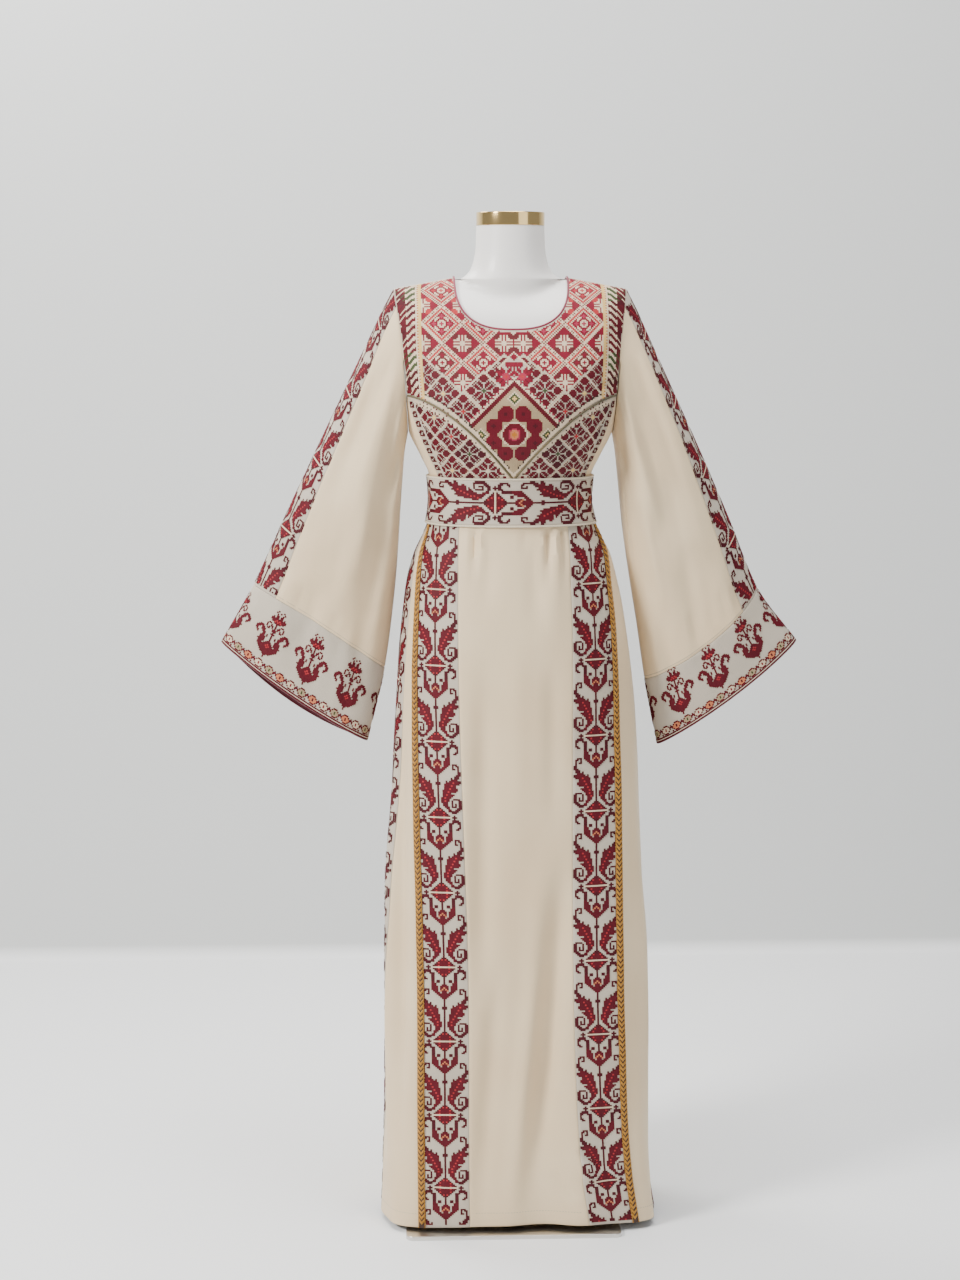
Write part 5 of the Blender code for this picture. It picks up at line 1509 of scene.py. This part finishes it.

# embroidery: charts drawn with one letter for each cross
# half of the band's motif from its centre column outwards: cup, leaves, scrolls and diamond
bandHalf = """
bpb.bbbb.ddd.. bbp.bbb..d.dd. bb.bbb...d..d. bbbbb....dd.d. bbbb........d. bbb.........dd bb..........dd
b..........ddd d.........ddd. d.......d.ddd. d.......dbbb.. d....d.bbbbbdd dd...bbbbcbbbd dd..bbbbcbbbd.
d...bbbbcbb... d...bbbcbbb... d...bbbcbbbb.. d..bbbcbbbbb.. d..bbbcbbbb... d..bbcbb...... d..bbcbbbb....
d..bcbbbb..... d.bbcbbb...... d.bbcbb..dddd. d.bbcbb.d...dd d.bcbb..d...dd d..bbb..d.d.dd d..bbb..d.d.dd
d...bbb.ddd.dd dd...bb....ddd dcd...bb..ddd. bbcd..bddddd.. bbbcd...ddd... bbbcbd........ bbbcbbd..d....
wwwwwwwwddd... bbbcbbd..d.... bbbcbd..dddd.. bbbcd...ddddd. bbcd..ddd..dd. dcd...dd....d. dd....dd....d.
d.....dd...dd. d.....dd..dd.. d..dd.dd...... d..dd.bb...... d....bbb...... bb...bbb...... bbb.bbbb......
pbb.bbbb......
""".split()
# half of the cuff's vase with its flower, from the top down
vaseHalf = """
..b.......... b..b......... ..b.......... .bb.......... .bb.b........ bbbbbb....... bcbbbb....... cbcbb........
bbb.......... b...bb....... b..b..b...... b.bb..b...... b.b.b.b...... bb..bb..bbb.. bb.....bbbbb. b.....bbb.bbb
bb....bbb..bb b....bbb...bb b..b.bb...bb. b..b.bb...b.. b...bbbb..... b...bbbb..... bb..bbbb..... bbb.bbbbb....
cbbb.bbb..... bcbbbbbb..... cbbbbbbb..... bbbbbbb...... bbbbbb....... bbbbb........ bbbb......... bb...........
b............ b............
""".split()
# the chain along the cuff's edge; f is the fill that changes from link to link
chainRows = "..bbb... .bfffb.b bffhffbb bffhffb. .bfffb.. ..bbb.b.".split()
# the column of dark hooks at the side of the lower bodice
hookRows = "ddddd dd..d d.ddd dddd. ..w.. w...w".split()

stitching = {"bandAcross": 0.00275, "sleeveAcross": 0.00252, "bandDown": 0.002366, "belt": 0.00254, "cuff": 0.00245, "chest": 0.00245}


boldness = 1.08


def wholeRow(half):
    return half[:0:-1] + half


def setStitches(name, cells, places, outward, across, wide, tall):
    # places the crosses: cells holds a letter for each
    colours = np.array([threadColours[letter] for letter in cells])
    reach = np.array((wide * boldness, tall * boldness, (wide + tall) / 2))
    piece = setShapes(name, "stitch", places + outward * 0.00030, outward, across, reach, finish["stitchThread"], colours)
    dress(piece, ())
    return piece


def chartCells(rows, count, first):
    # column, row and letter of every cross in a band of that many rows
    found = []
    for r in range(count):
        row = wholeRow(rows[(r + first) % len(rows)])
        middle = len(row) // 2
        if r % 2:
            # the leaves' light veins are broken
            row = row.replace("c", "b")
        found += [(k - middle, r, letter) for k, letter in enumerate(row) if letter != "."]
    return found


def bandOnCloth(name, key, first, wide=stitching["bandAcross"]):
    band = cloths[key]
    tall = stitching["bandDown"]
    length = band["down"][-1] - 0.004
    found = chartCells(bandHalf, int(length / tall), first)
    a = np.array([c for c, _, _ in found]) * wide
    d = 0.002 + np.array([r for _, r, _ in found]) * tall
    places, outward, across = onGrid(band, a, d)
    return setStitches(name, [letter for *_, letter in found], places, outward, across, wide, tall)


for word, first, sideFirst, sleeveFirst in (("left", 26, 8, 13), ("right", 29, 33, 6)):
    bandOnCloth(f"skirt_band_stitches_{word}", "skirtBand" + word, first)
    bandOnCloth(f"side_band_stitches_{word}", "sideBand" + word, sideFirst)
    bandOnCloth(f"sleeve_band_stitches_{word}", "sleeveband" + word, sleeveFirst, stitching["sleeveAcross"])
print("bands stitched")


def stitchBelt():
    strip, size = cloths["belt"], stitching["belt"]
    height = strip["down"][-1]
    long = 0.00269
    count = int(0.704 / long)
    first = 35 - int(round((0.352 - 0.029) / long))
    found = chartCells(bandHalf, count, first)
    along = -0.352 + long / 2 + np.array([r for _, r, _ in found]) * long
    down = height / 2 + np.array([c for c, _, _ in found]) * size
    places, outward, across = onGrid(strip, along, down)
    setStitches("belt_stitches", [letter for *_, letter in found], places, outward, across, long, size)


stitchBelt()


def stitchCuff(word):
    size, length, strip = stitching["cuff"], pieceEdges["cuff" + word], cloths["cuff" + word]
    depth = strip["down"][-1]
    found = []
    vases = 8
    pitch = length / vases
    vaseFoot = depth - 0.0125 - 6 * size
    for vase in range(vases):
        centre = cut["sleeveBandHalf"] - 0.020 + vase * pitch
        for k, half in enumerate(vaseHalf):
            row = wholeRow(half)
            for c, letter in enumerate(row):
                if letter != ".":
                    found.append((centre + (c - 12) * size, vaseFoot - (len(vaseHalf) - 1 - k) * size, letter))
    links = int(round(length / (8 * size)))
    wide = length / (links * 8)
    for link in range(links):
        fill = (("p", "d"), ("w", "r"), ("e", "g"))[link % 3]
        for k, row in enumerate(chainRows):
            for c, letter in enumerate(row):
                letter = {"f": fill[0], "h": fill[1]}.get(letter, letter)
                if letter != ".":
                    found.append(((link * 8 + c) * wide, depth - 0.0085 - (5 - k) * size, letter))
    for way in np.arange(0, length, size):
        found.append((way, depth - 0.0052, "b"))
        found.append((way, depth - 0.0010 - size / 2, "b"))
    a = np.array([f[0] for f in found]) % length - length / 2
    d = np.array([f[1] for f in found])
    places, outward, across = onGrid(strip, a, d)
    setStitches(f"cuff_stitches_{word}", [f[2] for f in found], places, outward, across, size, size)


for word in ("left", "right"):
    stitchCuff(word)
print("belt and cuffs stitched")

# the chest's pattern, painted by rule on half a canvas of cells
canvasS, canvasH = np.meshgrid(np.arange(0, 80), np.arange(-10, 156))
canvas = np.full(canvasS.shape, ".")
cell = stitching["chest"]
vHeight = 0.0 * canvasS
for _ in range(5):
    # the V seam in cells: its height over each cell across, brought closer step by step
    level = np.interp(vHeight[0] * cell, chestRise, chestLevels)
    for s in range(canvasS.shape[1]):
        run = chestRunAt(level[s])
        vHeight[:, s] = np.interp(vLineZ(np.interp(s * cell, run, chestAcross)), chestLevels, chestRise) / cell


def paint(mask, letter):
    canvas[mask] = letter


# quarters of the chest's motifs, from the middle outwards and upwards
diamondQuarter = "ii.riiirr i..rrirr ..rr.rr rrr..r ir..r iirr irr rr r".split()
starQuarter = "hh....bbbbb h.bbb.bbbb .b.bbb.bb .bb.bbb. .bbb.b. ..bbb. bb.b. bbb. bbb bb b".split()


def paintQuarter(quarter, dx, dy, changes):
    for j, row in enumerate(quarter):
        for i, letter in enumerate(row):
            paint((dx == i) & (dy == j), changes.get(letter, letter))


def largeDiamond(s, h, line, field, arm):
    # double border lines round a cross of five squares with curled hooks between
    dx, dy = np.abs(canvasS - s), np.abs(canvasH - h)
    m = dx + dy
    paint(m <= 13, "w")
    paint((m == 13) & ((canvasS + canvasH + dx) % 3 > 0), "n")
    paint((m == 11) | (m == 10), line)
    paint(m <= 8, field)
    paintQuarter(diamondQuarter, dx, dy, {".": "w", "r": field, "i": arm})


def handTile(s, h, hand, corner):
    # four fringed hands that point out of a pale cross, with small triangles between
    dx, dy = np.abs(canvasS - s), np.abs(canvasH - h)
    m = dx + dy
    paint(m <= 12, "w")
    for a, b in ((dx, dy), (dy, dx)):
        paint((b == 1) & (a >= 2) & (a <= 9), hand)
        paint((b == 3) & (a >= 4) & (a <= 7), hand)
        paint((a >= 6) & (a <= 11) & (b <= 11 - a) & (b <= 4), hand)
    paint((m >= 7) & (m <= 11) & (np.abs(dx - dy) <= 12 - m) & (np.minimum(dx, dy) >= 3), corner)


def starDiamond(s, h, heart, petal="b"):
    # a star of eight petals in a diamond framed by pale strips with fine dashes
    dx, dy = np.abs(canvasS - s), np.abs(canvasH - h)
    m = dx + dy
    paint(m <= 13, ".")
    paint(m == 12, "w")
    paint((m == 11) & (dx % 4 > 0), petal)
    paint((m == 10) & (dx % 2 == 0), petal)
    paintQuarter(starQuarter, dx, dy, {"h": heart, "b": petal})


def starFlower(s, h, size, petal, ring, heart):
    dx, dy = np.abs(canvasS - s), np.abs(canvasH - h)
    long, short = np.maximum(dx, dy), np.minimum(dx, dy)
    paint((short >= 1) & (short <= size) & (long >= short + 1) & (long <= short + size), petal)
    paint((long <= 2) & (long + short <= 3), ring)
    paint(long + short <= 1, heart)


def paintChest():
    for s, h in ((6, 90), (32, 64), (58, 64), (32, 90), (58, 90), (32, 116), (58, 116), (32, 142), (58, 142), (6, 64)):
        handTile(s, h, "r", "n" if h < 100 else "c")
    for s, h in ((19, 77), (45, 77), (71, 77)):
        largeDiamond(s, h, "c", "r" if s < 40 else "n", "r")
    for s, h in ((45, 103), (19, 103), (71, 103), (71, 129)):
        largeDiamond(s, h, "c", "r", "i")
    for s, h in ((45, 129), (19, 129)):
        largeDiamond(s, h, "c", "r", "c")
    for s, h, heart in ((58, 69, "b"), (6, 70, "r"), (19, 59, "g"), (45, 57, "y"), (32, 46, "c")):
        starDiamond(s, h, heart)
    # the fan over the rosette, with a small flower on each side
    m = canvasS + np.abs(canvasH - 74)
    paint(m <= 10, ".")
    paint((m == 10) | (m == 9), "w")
    for k in range(4):
        paint((canvasH - 71 == k) & (canvasS <= k + 1) & (canvasS % 2 == 0), "r")
    paint((canvasH >= 75) & (canvasH <= 77) & (canvasS <= 5) & (m <= 8), "r")
    starFlower(5, 68, 3, "r", "i", "c")
    paint(canvasS + np.abs(canvasH - 81) <= 2, "r")


def paintRosette():
    m = canvasS + np.abs(canvasH - 35)
    upper = canvasH >= 35
    inner = (m <= 26) | (~upper & (m <= 40))
    paint(upper & (m <= 33), "w")
    paint(upper & (m == 33) & (canvasH % 2 == 0), "i")
    paint(upper & (m == 32) & (canvasH % 3 == 0), "k")
    paint(upper & (m >= 27) & (m <= 30), "b")
    paint(inner, "e")
    for k in range(8):
        turn = math.radians(22.5 + 45 * k)
        dx, dy = np.abs(canvasS - 13.9 * math.cos(turn)), np.abs(canvasH - 31.5 - 13.9 * math.sin(turn))
        paint((np.maximum(dx, dy) <= 4.9) & (dx + dy <= 7.2), "f")
        paint((np.maximum(dx, dy) <= 1.2) & (dx + dy <= 1.4), "d")
    away = np.hypot(canvasS, canvasH - 31.5)
    paint(away <= 8.2, "w")
    paint(away <= 7.2, "f")
    paint(away <= 4.0, "i")
    paint((away <= 3.0), "p")
    paint((away <= 1.5), "o")
    for s, h in ((0, 54), (21, 31)):
        dx = np.abs(canvasS - s) + np.abs(canvasH - h)
        paint(dx <= 4, "w")
        paint(dx <= 3, "g")
        paint(dx <= 1, "y")


def paintLower():
    under = canvasH < vHeight
    kept = canvas.copy()
    paint(under, ".")
    for i in range(-3, 6):
        for j in range(-4, 4):
            s, h = 28 + 12 * (i + j), 18 + 12 * (i - j)
            if -14 < h < 80 and -12 < s < 80:
                starDiamond(s, h, "gcyw"[(i + 2 * j) % 4], "d" if (i + j) % 3 == 0 else "b")
    canvas[~under] = kept[~under]


def paintBorders():
    over = canvasH - vHeight
    paint((over >= -4.5) & (over < -1.5), "w")
    paint((over >= -4.0) & (over < -3.0) & (canvasS % 3 == 0), "k")
    paint((over >= 1.5) & (over < 4.0), "w")
    paint((over >= 4.0) & (over < 5.2) & (canvasS % 3 < 2) & (canvasS > 2), "k")
    side = (canvasS >= 59) & (over > 0)
    paint(side, "w")
    paint(side & (canvasS <= 60), "y")
    paint(side & (canvasS == 61) & (canvasH % 2 == 0), "o")
    slant = (canvasH + 0.8 * (canvasS - 63)) % 5
    tone = np.choose((canvasH // 12) % 4, ("b", "d", "g", "b"))
    bars = side & (canvasS >= 63) & (slant < 2.6)
    canvas[bars] = tone[bars]
    teeth = side & (canvasS >= 70) & ((canvasH + canvasS) % 4 < 3)
    canvas[teeth] = "b"
    paint(teeth & ((canvasH // 9) % 3 == 1), "d")


paintChest()
paintRosette()
paintLower()
paintBorders()


def stitchChest():
    size, found = stitching["chest"], {"chest": [], "lower": []}
    for row in range(canvas.shape[0]):
        h = canvasH[row, 0] * size
        z = float(np.interp(h, chestRise, chestLevels))
        if z >= 1.4992 or z <= 1.172:
            continue
        run = chestRunAt(z)
        edge = float(np.interp(bodiceHalf(z) - 0.0022, chestAcross, run))
        for s in range(canvas.shape[1]):
            if s * size > edge:
                break
            letter = canvas[row, s]
            x = float(np.interp(s * size, run, chestAcross))
            part = "chest" if z > vLineZ(x) else "lower"
            fromEdge = (edge - s * size) / size
            if part == "lower" and fromEdge < 7:
                letter = hookRows[canvasH[row, s] % 6][4 - min(int(fromEdge), 4)] if fromEdge < 5 else "."
            if letter == "." or abs(z - vLineZ(x)) < 0.0030:
                continue
            if x < cut["neckHalf"] + 0.002 and z > necklineZ(x) - 0.0030:
                continue
            if z > ridgeZ(x) - 0.0022:
                continue
            found[part] += [(x, z, letter)] + ([(-x, z, letter)] if s else [])
    for part, cells in found.items():
        x, z = np.array([c[0] for c in cells]), np.array([c[1] for c in cells])
        step = 0.0008
        across = unit(bodiceSurface(x + step, z) - bodiceSurface(x - step, z))
        down = bodiceSurface(x, z - step) - bodiceSurface(x, z + step)
        outward = unit(np.cross(down, across))
        places = bodiceSurface(x, z)
        setStitches(f"{part}_stitches", [c[2] for c in cells], places, outward, across, size, size)
        print(part, len(cells), "crosses")


stitchChest()


def makeVCord():
    x = np.linspace(-0.1612, 0.1612, 141)
    path = bodiceSurface(x, vLineZ(x))
    path[:, 1] -= 0.0010
    cord = tubeAlong("v_seam_cord", path, 0.0017, 8, finish["oliveCord"], closed=False)
    dress(cord, ())


makeVCord()


def edgeCords():
    # thin burgundy and cream cords on the cuffs' lower edges
    for side, word in ((-1, "left"), (1, "right")):
        strip = cloths["cuff" + word]
        for name, down, radius, material, slot in (
            ("burgundy", strip["down"][-1] - 0.0002, 0.0013, "burgundyCord", "burgundy_facing"),
            ("cream", strip["down"][-1] - 0.0035, 0.0007, "creamCord", "piping"),
        ):
            a = np.linspace(strip["across"][0], strip["across"][-1], 161)[:-1]
            places, outward, _ = onGrid(strip, a, 0 * a + down)
            cord = tubeAlong(f"cuff_{name}_cord_{word}", places + outward * 0.0003, radius, 8, finish[material])
            dress(cord, ())


edgeCords()


def topstitch(name, places, outward, across, long=0.0030):
    piece = setShapes(name, "topstitch", places, outward, across, np.array((long, 0.0016, 0.0016)), finish["seamThread"])
    dress(piece, ())


def makeTopstitches():
    step = 0.0008
    # round the hem
    around = float(byLevel(skirtRound, 0.036))
    way = np.arange(-around / 2, around / 2, 0.0046)
    z = hemZ(way) + 0.022
    bands = np.where(way > 0, bandStart(z, 1), bandStart(z, -1))
    keep = np.abs(np.abs(way) - bands - cut["bandWidth"] / 2) > cut["bandWidth"] / 2 + 0.008
    starts = np.where(way > 0, sideBandStart(z, 1), sideBandStart(z, -1))
    keep &= (np.abs(way) < starts - 0.002) | (np.abs(way) > starts + cut["bandWidth"] + 0.002)
    way, z = way[keep], z[keep]
    places = skirtSurface(way, z)
    across = unit(skirtSurface(way + step, z) - skirtSurface(way - step, z))
    down = skirtSurface(way, z - 0.002) - skirtSurface(way, z + 0.002)
    topstitch("hem_topstitch", places, unit(np.cross(down, across)), across)
    # beside the seams between the sleeves and the cuffs
    for side, word in ((-1, "left"), (1, "right")):
        angle = np.arange(8, 352, 1.1)
        along = cuffLine(side, angle, False) - 0.009
        places = sleeveSurface(side, angle, along)
        across = unit(sleeveSurface(side, angle + 0.3, along) - sleeveSurface(side, angle - 0.3, along))
        down = sleeveSurface(side, angle, along + 0.004) - sleeveSurface(side, angle, along - 0.004)
        outward = unit(np.cross(down, across))
        outward *= np.sign(np.sum(outward * (places - places.mean(axis=0)), axis=1))[:, None]
        topstitch(f"cuff_topstitch_{word}", places, outward, across, 0.0028)


makeTopstitches()
print("embroidery done")

# stage, light and camera
stage = {"floorSide": 9.0, "wallY": 1.6, "floorTone": (0.90, 0.905, 0.91), "wallShadeTone": (0.60, 0.61, 0.605)}


def makeStage():
    # a pale floor that sweeps up into a wall of the same paper, the wall painted darker than the floor as painted
    # shade
    side, wall, bend = stage["floorSide"], stage["wallY"], 0.03
    profile = [(-side / 2, 0.0), (wall - bend, 0.0)]
    profile += [(wall - bend + bend * math.sin(t), bend - bend * math.cos(t)) for t in np.linspace(0, math.pi / 2, 13)[1:]]
    profile += [(wall, 5.0)]
    points = [(x, y, z - 0.0002) for y, z in profile for x in (-side / 2, side / 2)]
    faces = [(2 * k, 2 * k + 1, 2 * k + 3, 2 * k + 2) for k in range(len(profile) - 1)]
    mesh = bpy.data.meshes.new("studioSweep")
    mesh.from_pydata(points, [], faces)
    mesh.shade_smooth()
    made = bpy.data.materials.new("studioPaper")
    made.use_nodes = True
    tree = made.node_tree
    shader = tree.nodes["Principled BSDF"]
    shader.inputs["Roughness"].default_value = 0.9
    place = node(tree, "ShaderNodeTexCoord")
    split = node(tree, "ShaderNodeSeparateXYZ", ((0, place.outputs["Object"]),))
    # painted shade: above the bend the paper takes the darker wall tone
    rise = node(tree, "ShaderNodeMapRange", (("Value", split.outputs[2]),), From_Max=bend)
    mix = node(tree, "ShaderNodeMix", ((0, rise.outputs["Result"]),), data_type="RGBA")
    mix.inputs[6].default_value = (*stage["floorTone"], 1)
    mix.inputs[7].default_value = (*stage["wallShadeTone"], 1)
    tree.links.new(mix.outputs[2], shader.inputs["Base Color"])
    # the paper is clear from behind, so the robe can be looked at from every side
    behind = node(tree, "ShaderNodeNewGeometry")
    clear = node(tree, "ShaderNodeBsdfTransparent")
    both = node(tree, "ShaderNodeMixShader", ((0, behind.outputs["Backfacing"]), (1, shader.outputs[0]), (2, clear.outputs[0])))
    tree.links.new(both.outputs[0], tree.nodes["Material Output"].inputs["Surface"])
    mesh.materials.append(made)
    sweep = bpy.data.objects.new("studioSweep", mesh)
    bpy.context.scene.collection.objects.link(sweep)


lights = {
    # place, aim, size, power, colour
    "key": ((-2.9, -2.0, 2.8), (0, 0, 0.9), 1.0, 200, (1.0, 0.985, 0.955)),
    "fill": ((2.6, -3.0, 1.8), (0, 0, 0.9), 2.2, 24, (0.97, 0.985, 1.0)),
    "top": ((0.3, -0.4, 3.8), (0, 0, 1.0), 1.6, 66, (1.0, 1.0, 1.0)),
    "rim": ((-1.3, 1.15, 2.9), (0, 0, 0.9), 0.8, 38, (1.0, 0.985, 0.96)),
    "wall": ((0.0, -0.2, 3.6), (0, 1.6, 1.1), 2.0, 45, (1.0, 1.0, 1.0)),
}


def makeLights():
    for name, (place, aim, size, power, colour) in lights.items():
        data = bpy.data.lights.new(name, "AREA")
        data.size, data.energy, data.color = size, power, colour
        lamp = bpy.data.objects.new(name, data)
        lamp.location = place
        way = np.subtract(aim, place)
        lamp.rotation_euler = Vector(way).to_track_quat("-Z", "Y").to_euler()
        bpy.context.scene.collection.objects.link(lamp)
    world = bpy.data.worlds.new("studioAir")
    world.use_nodes = True
    world.node_tree.nodes["Background"].inputs[0].default_value = (0.93, 0.95, 0.97, 1)
    world.node_tree.nodes["Background"].inputs[1].default_value = 0.40
    bpy.context.scene.world = world


def makeCamera():
    data = bpy.data.cameras.new("camera")
    data.lens, data.sensor_width, data.sensor_fit = 71.3, 36, "AUTO"
    camera = bpy.data.objects.new("camera", data)
    camera.location = (-0.2093, -3.9945, 1.455)
    camera.rotation_euler = (math.radians(82.5), 0, math.radians(-2.322))
    bpy.context.scene.collection.objects.link(camera)
    bpy.context.scene.camera = camera


makeStage()
makeLights()
makeCamera()
for helper in helpers:
    bpy.data.objects.remove(helper)
print("stage ready,", pieceCount, "pieces")
